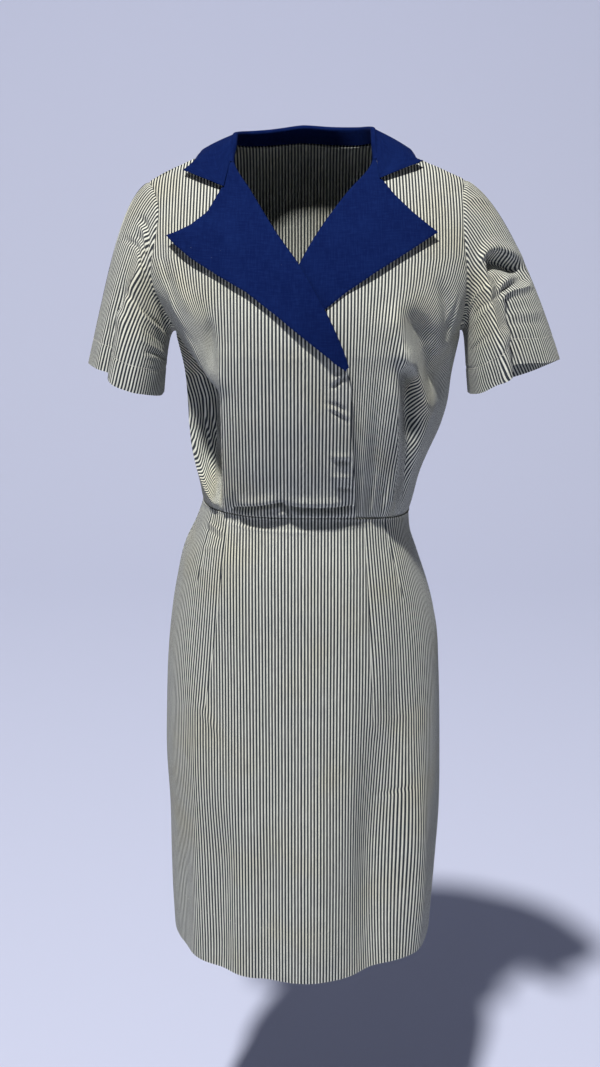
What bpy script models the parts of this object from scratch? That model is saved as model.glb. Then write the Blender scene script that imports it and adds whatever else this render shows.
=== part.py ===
"""A work dress with a surplice front, short sleeves and a straight skirt, in the form it has when worn.

Every piece is one wall of cloth. The body of the dress is a stack of sections: a turn round the body, with 0 at
the middle of the front and 90 degrees at the wearer's left side, and a level up it. The pieces are cut from that
one surface, so they meet at their seams, and the collar and lapels are made from its points, moved out.
Metres, +Z up, front towards -Y, the wearer's left towards +X. The origin lies between the shoulders.
"""

import math

import bpy
import numpy as np

# Walls and clearances of the cloth
CLOTH = 0.0012
FACING = 0.0010
SEAM_GAP = 0.0003
LAY_GAP = 0.0007
HEM_CLOTH = 0.0024

# Heights of the main lines
BUST_HEIGHT = -0.207
WAIST_HEIGHT = -0.405
HEM_HEIGHT = -0.988
SKIRT_HEM_DEPTH = 0.070

# The shoulder line: its height at the middle, how far it falls and how far back it lies
SHOULDER_TOP = 0.024
SHOULDER_FALL = 0.061
SHOULDER_BACK = 0.008
SHOULDER_CURVE = 1.5
HALF_SHOULDER_RIGHT = 0.181
HALF_SHOULDER_LEFT = 0.195

# How square the sections are: 2 is an ellipse
SQUARENESS = 2.25

# How the surface is sampled: the step for its directions, the levels and rounds in which a place on it is found,
# how near the shoulder it faces up, and where folds fade out towards the side seams
FORM_STEP = 0.004
PLACE_LEVELS = 401
EDGE_ROUNDS = 12
RAISED_NEAR_SHOULDER = 0.03
BODICE_SIDES_PLAIN = 0.45
SKIRT_SIDES_PLAIN = 0.3
SHARP_ANGLE = 50.0

# The neck
NECK_HALF = 0.081
BACK_NECK_DEPTH = 0.143

# How the two fronts lie on each other
OVER_LIFT = 0.0043
OVER_SEAM_LIFT = 0.0006
UNDER_SINK = 0.0026
UNDER_SEAM_SINK = 0.0012
LAPPED_ACROSS = (-0.110, -0.055)
LAPPED_BELOW = (-0.030, -0.100)
LAPPED_UP = (-0.405, -0.375)
SUNK_PAST_EDGE = (0.045, 0.004)

# Levels of the bodice's surface
BUST = 1.0
SHOULDER = 2.0
LOW_LEVELS = (0.0, 0.05, 0.11, 0.20, 0.32, 0.44, 0.56, 0.68, 0.80, 0.90)
ARMHOLE_LEVELS = (1.0, 1.012, 1.05, 1.13, 1.24, 1.36, 1.48, 1.60, 1.72, 1.82, 1.90, 1.95, 2.0)
BODICE_LEVELS = LOW_LEVELS + ARMHOLE_LEVELS

# Drops of the skirt's surface
HEM_TOP = 1.0 - SKIRT_HEM_DEPTH / (WAIST_HEIGHT - HEM_HEIGHT)
HEM_STEP = 0.005
SKIRT_DROPS = (0.0, 0.04, 0.09, 0.16, 0.25, 0.35, 0.46, 0.58, 0.70, 0.80, HEM_TOP - HEM_STEP, HEM_TOP, 0.94, 1.0)

# How finely each piece is cut, as shares across it
OVER_COLUMNS = np.linspace(0.0, 1.0, 20)
UNDER_COLUMNS = np.concatenate((np.linspace(0.0, 0.76, 16), np.linspace(0.76, 1.0, 4)[1:]))
BACK_SIDE_COLUMNS = 7
BACK_MIDDLE_COLUMNS = 8
BACK_SIDE_SHARE = 0.40
BACK_NECK_STARTS = 1.3
SKIRT_FRONT_COLUMNS = 29
SKIRT_BACK_COLUMNS = 19


class Table:
    """Rows of named columns, read smoothly between the rows by the first column."""

    def __init__(self, columns, rows):
        self.columns = columns.split()
        self.rows = np.array(rows, float)

    def read(self, column, at):
        """Values of a column where the first column is `at`, on a smooth curve through the rows."""
        keys = self.rows[:, 0]
        values = self.rows[:, self.columns.index(column)]
        steps = np.diff(keys)
        slopes = np.diff(values) / steps
        tangents = np.concatenate((slopes[:1], np.zeros(len(slopes) - 1), slopes[-1:]))
        tangents[1:-1] = (slopes[:-1] * steps[1:] + slopes[1:] * steps[:-1]) / (steps[:-1] + steps[1:])
        at = np.clip(np.asarray(at, float), keys[0], keys[-1])
        row = np.clip(np.searchsorted(keys, at) - 1, 0, len(steps) - 1)
        t = (at - keys[row]) / steps[row]
        start = (1 + 2 * t) * (1 - t) ** 2 * values[row] + t * (1 - t) ** 2 * steps[row] * tangents[row]
        end = t * t * (3 - 2 * t) * values[row + 1] - t * t * (1 - t) * steps[row] * tangents[row + 1]
        return start + end


# Sections of the bodice below the bust: half widths at each side, and depths in front and behind
BODICE = Table(
    "height right left front back",
    [
        (-0.405, 0.120, 0.128, 0.098, 0.088),
        (-0.396, 0.122, 0.131, 0.103, 0.092),
        (-0.384, 0.124, 0.134, 0.108, 0.096),
        (-0.359, 0.129, 0.140, 0.117, 0.100),
        (-0.334, 0.133, 0.150, 0.126, 0.103),
        (-0.310, 0.135, 0.162, 0.133, 0.105),
        (-0.285, 0.136, 0.170, 0.140, 0.107),
        (-0.245, 0.139, 0.175, 0.147, 0.108),
        (-0.207, 0.147, 0.182, 0.151, 0.108),
    ],
)

# The rounding from the bust up over the shoulder: shares of the height and of the depths, half widths of the
# sections, and the turn at which the armhole cuts them
YOKE = Table(
    "level rise front back right left armhole",
    [
        (1.00, 0.000, 1.000, 1.000, 0.147, 0.182, 90.0),
        (1.04, 0.046, 0.998, 1.000, 0.149, 0.183, 81.0),
        (1.15, 0.170, 0.975, 0.997, 0.162, 0.190, 73.5),
        (1.30, 0.340, 0.885, 0.985, 0.182, 0.200, 66.0),
        (1.45, 0.500, 0.750, 0.950, 0.194, 0.208, 60.5),
        (1.60, 0.660, 0.580, 0.875, 0.197, 0.215, 55.5),
        (1.75, 0.810, 0.390, 0.740, 0.200, 0.222, 52.5),
        (1.88, 0.925, 0.215, 0.510, 0.208, 0.224, 52.0),
        (1.95, 0.975, 0.115, 0.290, 0.212, 0.225, 52.5),
        (2.00, 1.000, 0.000, 0.000, 0.215, 0.226, 53.0),
    ],
)

# Sections of the skirt
SKIRT = Table(
    "drop right left front back",
    [
        (0.000, 0.120, 0.128, 0.098, 0.088),
        (0.030, 0.131, 0.131, 0.105, 0.094),
        (0.055, 0.143, 0.139, 0.111, 0.101),
        (0.107, 0.156, 0.155, 0.119, 0.114),
        (0.160, 0.164, 0.166, 0.123, 0.122),
        (0.201, 0.168, 0.169, 0.127, 0.125),
        (0.270, 0.172, 0.173, 0.133, 0.125),
        (0.325, 0.174, 0.175, 0.138, 0.123),
        (0.411, 0.171, 0.176, 0.145, 0.121),
        (0.485, 0.171, 0.173, 0.151, 0.120),
        (0.530, 0.171, 0.171, 0.155, 0.120),
        (0.583, 0.170, 0.169, 0.158, 0.120),
    ],
)

# How far the waist seam and the hem lie below their height at the middle of the front
SIDE_SAG = {"waist": (0.003, 0.015, 0.007), "hem": (-0.003, -0.010, -0.004)}

# The largest folds, each from a top point to a low point: ridges stand out and troughs lie in
FOLD_COLUMNS = "top_x top_z low_x low_z width out_top out_low fade"
FRONT_FOLDS = (
    # the fall of cloth from the underarm to the right side of the waist, and the hollow beside it
    (-0.147, -0.155, -0.094, -0.238, 0.013, 0.004, 0.008, 0.02),
    (-0.092, -0.250, -0.094, -0.365, 0.011, 0.008, 0.006, 0.03),
    (-0.122, -0.250, -0.112, -0.362, 0.015, -0.016, -0.014, 0.04),
    # the folds that rise from the left side of the waist to the bust and the underarm
    (0.106, -0.185, 0.136, -0.262, 0.011, 0.003, 0.005, 0.02),
    (0.103, -0.250, 0.101, -0.385, 0.012, 0.004, 0.005, 0.03),
    (0.121, -0.245, 0.115, -0.345, 0.011, -0.010, -0.007, 0.03),
    (0.140, -0.280, 0.118, -0.385, 0.012, 0.008, 0.004, 0.04),
    (0.163, -0.215, 0.150, -0.300, 0.011, -0.008, -0.003, 0.04),
    # gathers let into the waist seam
    (-0.086, -0.365, -0.080, -0.400, 0.005, 0.001, 0.003, 0.02),
    (0.074, -0.350, 0.070, -0.400, 0.005, 0.001, 0.003, 0.02),
    (0.086, -0.360, 0.084, -0.400, 0.004, -0.001, -0.003, 0.02),
    (0.101, -0.360, 0.098, -0.405, 0.005, 0.001, 0.003, 0.02),
)
BACK_FOLDS = (
    (-0.085, -0.240, -0.070, -0.385, 0.018, 0.002, 0.006, 0.05),
    (-0.030, -0.280, -0.028, -0.385, 0.014, -0.001, -0.004, 0.05),
    (0.045, -0.270, 0.038, -0.385, 0.016, 0.002, 0.005, 0.05),
    (0.112, -0.230, 0.090, -0.385, 0.018, 0.002, 0.006, 0.05),
)
SKIRT_FRONT_FOLDS = (
    (0.012, -0.780, 0.012, -0.990, 0.034, 0.001, 0.007, 0.10),
    (-0.098, -0.800, -0.104, -0.990, 0.018, 0.000, -0.008, 0.10),
    (-0.046, -0.840, -0.047, -0.990, 0.016, 0.000, -0.005, 0.10),
    (0.092, -0.700, 0.090, -0.990, 0.030, -0.002, -0.026, 0.12),
    (0.140, -0.740, 0.143, -0.990, 0.016, 0.001, 0.010, 0.12),
    (-0.150, -0.860, -0.152, -0.990, 0.010, 0.000, -0.006, 0.08),
)
SKIRT_BACK_FOLDS = (
    (-0.110, -0.760, -0.118, -0.990, 0.026, 0.001, 0.008, 0.12),
    (-0.040, -0.800, -0.036, -0.990, 0.024, -0.001, -0.007, 0.12),
    (0.030, -0.780, 0.034, -0.990, 0.028, 0.001, 0.008, 0.12),
    (0.105, -0.800, 0.110, -0.990, 0.024, -0.001, -0.006, 0.12),
)

# The inner edges of the two fronts: the overlap's edge, then the line where the lapel turns out, to the neck
OVER_EDGE = Table(
    "height across",
    [
        (-0.405, 0.061),
        (-0.300, 0.053),
        (-0.219, 0.0465),
        (-0.179, 0.031),
        (-0.150, 0.016),
        (-0.116, -0.005),
        (-0.085, -0.029),
        (-0.040, -0.060),
        (-0.013, -0.079),
        (0.006, -0.081),
    ],
)
UNDER_EDGE = Table(
    "height across",
    [
        (-0.405, -0.061),
        (-0.300, -0.055),
        (-0.219, -0.047),
        (-0.180, -0.036),
        (-0.150, -0.022),
        (-0.116, -0.005),
        (-0.075, 0.022),
        (-0.042, 0.050),
        (-0.012, 0.079),
        (0.007, 0.081),
    ],
)

# The lapels, a row for each section: the height at which it leaves the turned line, across and height of where
# it ends, and how far it stands off there
OVER_LAPEL = (
    (-0.0155, -0.0811, -0.0165, 0.001),
    (-0.0235, -0.0838, -0.0265, 0.001),
    (-0.0320, -0.0868, -0.0369, 0.002),
    (-0.0440, -0.1040, -0.0630, 0.002),
    (-0.0550, -0.1210, -0.0770, 0.003),
    (-0.0640, -0.1370, -0.0865, 0.004),
    (-0.0710, -0.1450, -0.0910, 0.005),
    (-0.0810, -0.1360, -0.0990, 0.005),
    (-0.0950, -0.1180, -0.1110, 0.005),
    (-0.1120, -0.0890, -0.1260, 0.005),
    (-0.1300, -0.0590, -0.1410, 0.005),
    (-0.1520, -0.0290, -0.1620, 0.005),
    (-0.1760, 0.0010, -0.1850, 0.005),
    (-0.1970, 0.0280, -0.2060, 0.004),
    (-0.2165, 0.0450, -0.2185, 0.002),
)
UNDER_LAPEL = (
    (-0.0145, 0.0806, -0.0150, 0.001),
    (-0.0205, 0.0822, -0.0215, 0.001),
    (-0.0275, 0.0841, -0.0288, 0.002),
    (-0.0370, 0.0990, -0.0450, 0.002),
    (-0.0460, 0.1180, -0.0630, 0.003),
    (-0.0550, 0.1350, -0.0780, 0.004),
    (-0.0610, 0.1450, -0.0860, 0.005),
    (-0.0720, 0.1310, -0.0930, 0.005),
    (-0.0870, 0.1040, -0.1070, 0.004),
    (-0.1040, 0.0770, -0.1210, 0.003),
    (-0.1220, 0.0460, -0.1390, 0.001),
    (-0.1430, 0.0220, -0.1560, 0.000),
    (-0.1650, -0.0040, -0.1740, 0.000),
    (-0.1860, -0.0260, -0.1910, 0.000),
    (-0.2050, -0.0425, -0.2065, 0.000),
)

# Shares across a lapel, the heights of its two layers over the front, and how the facing rolls round the edge
LAPEL_SHARES = (0.0, 0.12, 0.32, 0.55, 0.78, 1.0)
CLOTH_HEIGHT = LAY_GAP + FACING
FACING_HEIGHT = LAY_GAP + FACING + SEAM_GAP + FACING
ROLL_BEHIND = CLOTH + LAY_GAP + FACING
ROLL_ANGLES = (180.0, 135.0, 90.0, 45.0)
LAPEL_CURL = 1.5
CLOTH_ENDS = (0.03, 0.98)

# The collar from its right end to its left one: the neck seam, the height and inward lean of the stand, and the
# outer edge of the fall, with levels past the shoulder lying on the back
COLLAR = Table(
    "station neck_x neck_level stand lean edge_x edge_level lift",
    [
        (0.00, -0.0794, 1.868, 0.000, 0.000, -0.128, 1.850, 0.004),
        (0.09, -0.0802, 1.935, 0.009, 0.001, -0.122, 1.915, 0.004),
        (0.18, -0.0810, 2.000, 0.014, 0.001, -0.113, 2.000, 0.004),
        (0.28, -0.0690, 2.075, 0.018, 0.002, -0.098, 2.150, 0.003),
        (0.39, -0.0380, 2.126, 0.020, 0.003, -0.060, 2.275, 0.003),
        (0.50, 0.0000, 2.143, 0.022, 0.005, 0.000, 2.335, 0.003),
        (0.61, 0.0380, 2.126, 0.022, 0.005, 0.063, 2.275, 0.003),
        (0.72, 0.0690, 2.075, 0.021, 0.000, 0.104, 2.150, 0.003),
        (0.82, 0.0810, 2.000, 0.018, -0.002, 0.121, 2.000, 0.004),
        (0.91, 0.0802, 1.940, 0.011, -0.001, 0.126, 1.935, 0.004),
        (1.00, 0.0796, 1.875, 0.000, 0.000, 0.129, 1.895, 0.004),
    ],
)

# The collar's shape: how it turns over at the neck, how finely it is cut, and where its ends meet the lapels
COLLAR_RADIUS = 0.0030
COLLAR_CENTRE = (0.0, 0.015, 0.0)
UPRIGHT_LEAN = 0.2
STAND_GROWN = 0.010
FALL_SHARES = (0.12, 0.28, 0.45, 0.64, 0.83, 1.0)
COLLAR_STATIONS = 29
STAND_SHARES = (0.0, 0.5)
FOLD_ANGLES = (0.0, 60.0, 120.0, 180.0)
FOOT_CLEAR = 0.003
COLLAR_NOTCH = {"right": (-0.0874, -0.0365), "left": (0.0844, -0.0280)}
NOTCH_SHARE = 0.45
NOTCH_REACH = 0.12
FALL_SWELL = 0.0015

# Sleeve hems, a row for each station round the opening: 0 at the underarm, 1 at the outer side, front first
SLEEVE_COLUMNS = "station x y z"
SLEEVE_HEM = {
    "right": Table(
        SLEEVE_COLUMNS,
        [
            (0.00, -0.164, -0.006, -0.276),
            (0.18, -0.166, -0.040, -0.273),
            (0.36, -0.181, -0.070, -0.265),
            (0.54, -0.199, -0.079, -0.259),
            (0.66, -0.215, -0.073, -0.253),
            (0.75, -0.223, -0.050, -0.247),
            (0.88, -0.241, -0.030, -0.243),
            (1.00, -0.253, -0.002, -0.243),
            (1.20, -0.249, 0.034, -0.252),
            (1.45, -0.224, 0.064, -0.264),
            (1.70, -0.190, 0.064, -0.272),
            (1.87, -0.170, 0.036, -0.276),
            (2.00, -0.164, -0.006, -0.276),
        ],
    ),
    "left": Table(
        SLEEVE_COLUMNS,
        [
            (0.00, 0.195, -0.004, -0.277),
            (0.16, 0.196, -0.036, -0.272),
            (0.30, 0.204, -0.062, -0.265),
            (0.45, 0.218, -0.079, -0.253),
            (0.58, 0.232, -0.083, -0.244),
            (0.67, 0.240, -0.056, -0.236),
            (0.80, 0.261, -0.040, -0.235),
            (0.91, 0.286, -0.022, -0.238),
            (1.00, 0.303, 0.003, -0.239),
            (1.18, 0.294, 0.040, -0.254),
            (1.38, 0.276, 0.060, -0.267),
            (1.58, 0.250, 0.067, -0.277),
            (1.77, 0.223, 0.054, -0.281),
            (1.90, 0.203, 0.027, -0.280),
            (2.00, 0.195, -0.004, -0.277),
        ],
    ),
}
SLEEVE_RUN = Table(
    "from_top lead spread hang",
    [
        (0.0, 0.036, 0.000, 0.100),
        (0.4, 0.024, 0.001, 0.090),
        (0.7, 0.014, 0.003, 0.075),
        (0.9, 0.010, 0.005, 0.060),
        (1.0, 0.010, 0.006, 0.055),
    ],
)
SLEEVE_LEAD = {"right": 1.0, "left": 1.3}
SLEEVE_AXIS = {
    "right": ((-0.25, 0.0, -0.97), (-0.10, 0.0, -0.99)),
    "left": ((0.34, 0.0, -0.94), (0.12, 0.0, -0.99)),
}
SLEEVE_HEM_STARTS = 0.805
SLEEVE_ROWS = (0.0, 0.05, 0.12, 0.22, 0.35, 0.50, 0.65, 0.80, 0.81, 1.0)

# Colours and roughness: the striped cotton seen from a step away, and the navy
STRIPED = (0.34, 0.34, 0.30, 1.0)
STRIPED_ROUGHNESS = 0.85
NAVY = (0.008, 0.020, 0.110, 1.0)
NAVY_ROUGHNESS = 0.80


def power(value, exponent):
    """A signed power, which keeps the side that a value is on."""
    return np.sign(value) * np.abs(value) ** exponent


def ease(value, start, end):
    """0 at start, 1 at end, and a soft curve between them."""
    t = np.clip((value - start) / (end - start), 0.0, 1.0)
    return t * t * (3 - 2 * t)


def unit(vectors):
    """Vectors of length 1."""
    return vectors / np.linalg.norm(vectors, axis=-1, keepdims=True)


def stack(x, y, z):
    """Points from their three coordinates."""
    return np.stack(np.broadcast_arrays(x, y, z), axis=-1)


def by_side(across, right, left):
    """The right side's value where a place is on the wearer's right, and else the left side's."""
    return np.where(across < 0, right, left)


def shoulder_height(x):
    """Height of the shoulder line, which falls away from the neck."""
    reach = np.abs(x) / by_side(x, HALF_SHOULDER_RIGHT, HALF_SHOULDER_LEFT)
    return SHOULDER_TOP - SHOULDER_FALL * reach**SHOULDER_CURVE


def sag(line, turn):
    """How far a seam or hem lies below its height at the middle of the front."""
    right, left, back = SIDE_SAG[line]
    side = np.sin(turn)
    middle = np.where(np.cos(turn) > 0, 0.0, back)
    return middle + (by_side(side, right, left) - middle) * side**2


def half_width(turn, level):
    """Half width of the bodice's section, on the side that the turn is on."""
    side = np.sin(turn)
    height = WAIST_HEIGHT + (BUST_HEIGHT - WAIST_HEIGHT) * level
    low = by_side(side, BODICE.read("right", height), BODICE.read("left", height))
    high = by_side(side, YOKE.read("right", level), YOKE.read("left", level))
    return np.where(level < BUST, low, high)


def bodice_form(turn, level):
    """Smooth outer face of the bodice: level 0 at the waist, 1 at the bust, 2 on the shoulder, 3 behind."""
    turn, level = np.broadcast_arrays(np.asarray(turn, float), np.asarray(level, float))
    behind = level > SHOULDER
    turn = np.where(behind, math.pi - turn, turn)
    level = np.where(behind, 2 * SHOULDER - level, level)
    x = half_width(turn, level) * power(np.sin(turn), 2 / SQUARENESS)
    along = power(np.cos(turn), 2 / SQUARENESS)
    front = along > 0
    height = WAIST_HEIGHT + (BUST_HEIGHT - WAIST_HEIGHT) * level
    low_depth = np.where(front, BODICE.read("front", height), BODICE.read("back", height))
    low_y = -low_depth * along
    waist = WAIST_HEIGHT - sag("waist", turn)
    low_z = waist + (BUST_HEIGHT - waist) * level
    bust_depth = np.where(front, BODICE.read("front", BUST_HEIGHT), BODICE.read("back", BUST_HEIGHT))
    rise = YOKE.read("rise", level)
    reach = np.where(front, YOKE.read("front", level), YOKE.read("back", level))
    high_y = SHOULDER_BACK * rise - bust_depth * along * reach
    high_z = BUST_HEIGHT + (shoulder_height(x) - BUST_HEIGHT) * rise
    return stack(x, np.where(level < BUST, low_y, high_y), np.where(level < BUST, low_z, high_z))


def skirt_form(turn, drop):
    """Smooth outer face of the skirt, with drop 0 at the waist seam and 1 at the hem."""
    turn, drop = np.broadcast_arrays(np.asarray(turn, float), np.asarray(drop, float))
    side = power(np.sin(turn), 2 / SQUARENESS)
    along = power(np.cos(turn), 2 / SQUARENESS)
    fallen = drop * (WAIST_HEIGHT - HEM_HEIGHT)
    x = by_side(side, SKIRT.read("right", fallen), SKIRT.read("left", fallen)) * side
    depth = np.where(along > 0, SKIRT.read("front", fallen), SKIRT.read("back", fallen))
    top = WAIST_HEIGHT - sag("waist", turn)
    low = HEM_HEIGHT - sag("hem", turn)
    return stack(x, -depth * along, top + (low - top) * drop)


def normals(form, turn, level):
    """Outward directions of a form, which is a function of a turn and a level."""
    across = form(turn + FORM_STEP, level) - form(turn - FORM_STEP, level)
    up = form(turn, level + FORM_STEP) - form(turn, level - FORM_STEP)
    return unit(np.cross(across, up))


def outward(directions, points):
    """Directions turned away from the body's middle line."""
    radial = points * (1.0, 1.0, 0.0)
    keep = np.sum(directions * radial, axis=-1, keepdims=True) >= 0
    return np.where(keep, directions, -directions)


def raised(directions):
    """Directions turned upward."""
    return np.where(directions[..., 2:] >= 0, directions, -directions)


def fold_height(rows, points):
    """How far the folds in a table move these points out or in."""
    x, z = points[..., 0], points[..., 2]
    total = np.zeros_like(x)
    for row in rows:
        fold = dict(zip(FOLD_COLUMNS.split(), row))
        share = np.clip((fold["top_z"] - z) / (fold["top_z"] - fold["low_z"]), 0.0, 1.0)
        middle = fold["top_x"] + (fold["low_x"] - fold["top_x"]) * share
        out = fold["out_top"] + (fold["out_low"] - fold["out_top"]) * share
        begins = ease(z, fold["top_z"] + fold["fade"], fold["top_z"])
        ends = ease(z, fold["low_z"] - fold["fade"], fold["low_z"])
        total += out * begins * ends * np.exp(-(((x - middle) / fold["width"]) ** 2))
    return total


def bodice(turn, level, out=0.0):
    """Outer face of the bodice with its folds, moved out by a distance or by a function of its points."""
    base = bodice_form(turn, level)
    facing = outward(normals(bodice_form, turn, level), base - (0.0, SHOULDER_BACK, 0.0))
    facing = np.where(base[..., 2:] > shoulder_height(base[..., :1]) - RAISED_NEAR_SHOULDER, raised(facing), facing)
    side = ease(np.abs(np.cos(turn)), 0.0, BODICE_SIDES_PLAIN)
    folds = np.where(base[..., 1] < 0, fold_height(FRONT_FOLDS, base), fold_height(BACK_FOLDS, base))
    extra = out(base) if callable(out) else out
    return base + facing * (folds * side + extra)[..., None]


def skirt(turn, drop):
    """Outer face of the skirt with its folds."""
    base = skirt_form(turn, drop)
    facing = outward(normals(skirt_form, turn, drop), base)
    side = ease(np.abs(np.cos(turn)), 0.0, SKIRT_SIDES_PLAIN)
    front = fold_height(SKIRT_FRONT_FOLDS, base)
    folds = np.where(base[..., 1] < 0, front, fold_height(SKIRT_BACK_FOLDS, base))
    return base + facing * (folds * side)[..., None]


def turn_at(x, level):
    """The turn at which the front of the bodice is this far across."""
    side = np.sign(x) * math.pi / 2
    share = np.clip(np.abs(x) / half_width(side, level), 0.0, 1.0)
    return np.sign(x) * np.arcsin(share ** (SQUARENESS / 2))


def place_at(x, z):
    """Turn and level of the front of the bodice at a place seen from the front."""
    low = (z - WAIST_HEIGHT) / (BUST_HEIGHT - WAIST_HEIGHT)
    levels = np.linspace(BUST, SHOULDER, PLACE_LEVELS)
    rise = (z - BUST_HEIGHT) / (shoulder_height(x) - BUST_HEIGHT)
    high = np.interp(rise, YOKE.read("rise", levels), levels)
    level = np.where(z < BUST_HEIGHT, low, high)
    return turn_at(x, level), level


def edge_turn(edge, level):
    """The turn at which a front's inner edge lies at each level, found in rounds that close in on it."""
    x = edge.read("across", WAIST_HEIGHT * (1 - np.asarray(level) / SHOULDER))
    for _ in range(EDGE_ROUNDS):
        turn = turn_at(x, level)
        height = bodice_form(turn, level)[..., 2]
        x = edge.read("across", height)
    return turn_at(x, level)


def over_out(points):
    """How far the right front lies outside the body's surface where it crosses the left one."""
    lapped = ease(points[..., 0], *LAPPED_ACROSS) * ease(points[..., 2], *LAPPED_BELOW)
    lift = OVER_SEAM_LIFT + (OVER_LIFT - OVER_SEAM_LIFT) * ease(points[..., 2], *LAPPED_UP)
    return lapped * lift


def under_out(points):
    """How far the left front lies inside the body's surface where the right one covers it."""
    past = points[..., 0] - OVER_EDGE.read("across", points[..., 2])
    sink = UNDER_SEAM_SINK + (UNDER_SINK - UNDER_SEAM_SINK) * ease(points[..., 2], *LAPPED_UP)
    return -sink * ease(past, *SUNK_PAST_EDGE)


def wall(name, outer, facing, thickness, material, tube=False):
    """A closed solid between a grid of outer points and the same grid moved in by the cloth's thickness."""
    rows, columns = outer.shape[:2]
    inner = outer - facing * (np.zeros((rows, columns)) + thickness)[..., None]
    points = np.concatenate((outer.reshape(-1, 3), inner.reshape(-1, 3)))
    count = rows * columns
    faces = []
    last = columns if tube else columns - 1
    for i in range(rows - 1):
        for j in range(last):
            k = (j + 1) % columns
            a, b = i * columns + j, i * columns + k
            c, d = (i + 1) * columns + k, (i + 1) * columns + j
            faces += [(a, b, c), (a, c, d)]
            faces += [(count + c, count + b, count + a), (count + d, count + c, count + a)]
    rim = [(0, j) for j in range(columns)]
    if not tube:
        rim += [(i, columns - 1) for i in range(1, rows)]
        rim += [(rows - 1, j) for j in range(columns - 2, -1, -1)]
        rim += [(i, 0) for i in range(rows - 2, 0, -1)]
    rims = [rim]
    if tube:
        rims.append([(rows - 1, columns - 1 - j) for j in range(columns)])
    for ring in rims:
        for (i, j), (m, n) in zip(ring, ring[1:] + ring[:1]):
            a, b = i * columns + j, m * columns + n
            faces.append((b, a, count + a, count + b))
    mesh = bpy.data.meshes.new(name)
    mesh.from_pydata(points.tolist(), [], faces)
    facing_out = np.cross(outer[0, 1] - outer[0, 0], outer[1, 0] - outer[0, 0]) @ facing[0, 0] > 0
    if not facing_out:
        mesh.flip_normals()
    mesh.materials.append(material)
    mesh.shade_smooth()
    mesh.set_sharp_from_angle(angle=math.radians(SHARP_ANGLE))
    piece = bpy.data.objects.new(name, mesh)
    dress.objects.link(piece)
    return piece


def cloth_material(name, colour, roughness):
    """A plain woven cotton of one colour."""
    material = bpy.data.materials.new(name)
    material.use_nodes = True
    shader = material.node_tree.nodes["Principled BSDF"]
    shader.inputs["Base Color"].default_value = colour
    shader.inputs["Roughness"].default_value = roughness
    shader.inputs["Metallic"].default_value = 0.0
    return material


def grid_normals(form, turn, level, points):
    """Outward directions of a panel's grid, raised where it lies on the shoulder."""
    facing = outward(normals(form, turn, level), points - (0.0, SHOULDER_BACK, 0.0))
    high = points[..., 2:] > shoulder_height(points[..., :1]) - RAISED_NEAR_SHOULDER
    return np.where(high, raised(facing), facing)


def armhole_turn(level):
    """The turn at which the armhole, or below it the side seam, ends a front."""
    return np.radians(np.where(level < BUST, 90.0, YOKE.read("armhole", level)))


def front_panel(name, side, edge, out, columns, material):
    """One front of the bodice, from its side seam and armhole to its inner edge."""
    levels = np.array(BODICE_LEVELS)[:, None]
    outer_turn = side * armhole_turn(levels)
    inner_turn = edge_turn(edge, levels)
    share = np.array(columns)[None, :]
    turn = outer_turn + (inner_turn - outer_turn) * share
    level = np.broadcast_to(levels, turn.shape)

    def form(t, v):
        return bodice(t, v, out)

    points = form(turn, level)
    facing = grid_normals(form, turn, level, points)
    points = points + (0.0, -SEAM_GAP / 2, 0.0)
    points[0, :, 2] += SEAM_GAP / 2
    return wall(name, points, facing, CLOTH, material)


def back_neck_level(x):
    """Level at which the neck cuts the back, which is the shoulder's level at the neck's side."""
    share = np.clip(np.abs(x) / NECK_HALF, 0.0, 1.0)
    return SHOULDER - BACK_NECK_DEPTH * np.sqrt(1.0 - share**2)


def back_panel(material):
    """The back of the bodice, in one piece from armhole to armhole, with the neck cut out of its top."""
    levels = np.array(BODICE_LEVELS)[:, None]
    arm = armhole_turn(levels)
    neck_turn = {side: abs(float(turn_at(side * NECK_HALF, SHOULDER))) for side in (-1, 1)}
    blend = ease(levels, BACK_NECK_STARTS, SHOULDER)
    turns = []
    shares = np.linspace(0.0, 1.0, BACK_SIDE_COLUMNS)
    for side, side_shares in ((1, shares), (-1, shares[::-1])):
        plain = arm * BACK_SIDE_SHARE
        inner = plain + (neck_turn[side] - plain) * blend
        turns.append(side * (arm + (inner - arm) * side_shares[None, :]))
    left, right = turns
    middle_share = np.linspace(0.0, 1.0, BACK_MIDDLE_COLUMNS)[None, 1:-1]
    middle = left[:, -1:] + (right[:, :1] - left[:, -1:]) * middle_share
    turn = np.concatenate((left, middle, right), axis=1)
    top_x = bodice_form(turn[-1:], SHOULDER)[..., 0]
    top = back_neck_level(top_x)
    above = np.clip((levels - BACK_NECK_STARTS) / (SHOULDER - BACK_NECK_STARTS), 0.0, 1.0)
    level = levels - above * (SHOULDER - top)
    turn = math.pi - turn

    points = bodice(turn, level)
    facing = grid_normals(bodice, turn, level, points)
    points = points + (0.0, SEAM_GAP / 2, 0.0)
    points[0, :, 2] += SEAM_GAP / 2
    return wall("bodice_back", points, facing, CLOTH, material)


def skirt_panel(name, middle, columns, material):
    """Front or back of the skirt, with the hem's second layer as a thicker band inside."""
    drops = np.array(SKIRT_DROPS)[:, None]
    turn = middle + np.radians(np.linspace(-90.0, 90.0, columns))[None, :]
    drop = np.broadcast_to(drops, (len(SKIRT_DROPS), columns))
    points = skirt(turn, drop)
    facing = outward(normals(skirt, turn, drop), points)
    towards = -1.0 if middle == 0 else 1.0
    points = points + (0.0, towards * SEAM_GAP / 2, 0.0)
    points[0, :, 2] -= SEAM_GAP / 2
    thickness = np.where(drops >= HEM_TOP, HEM_CLOTH, CLOTH) + np.zeros(turn.shape)
    return wall(name, points, facing, thickness, material)


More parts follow.
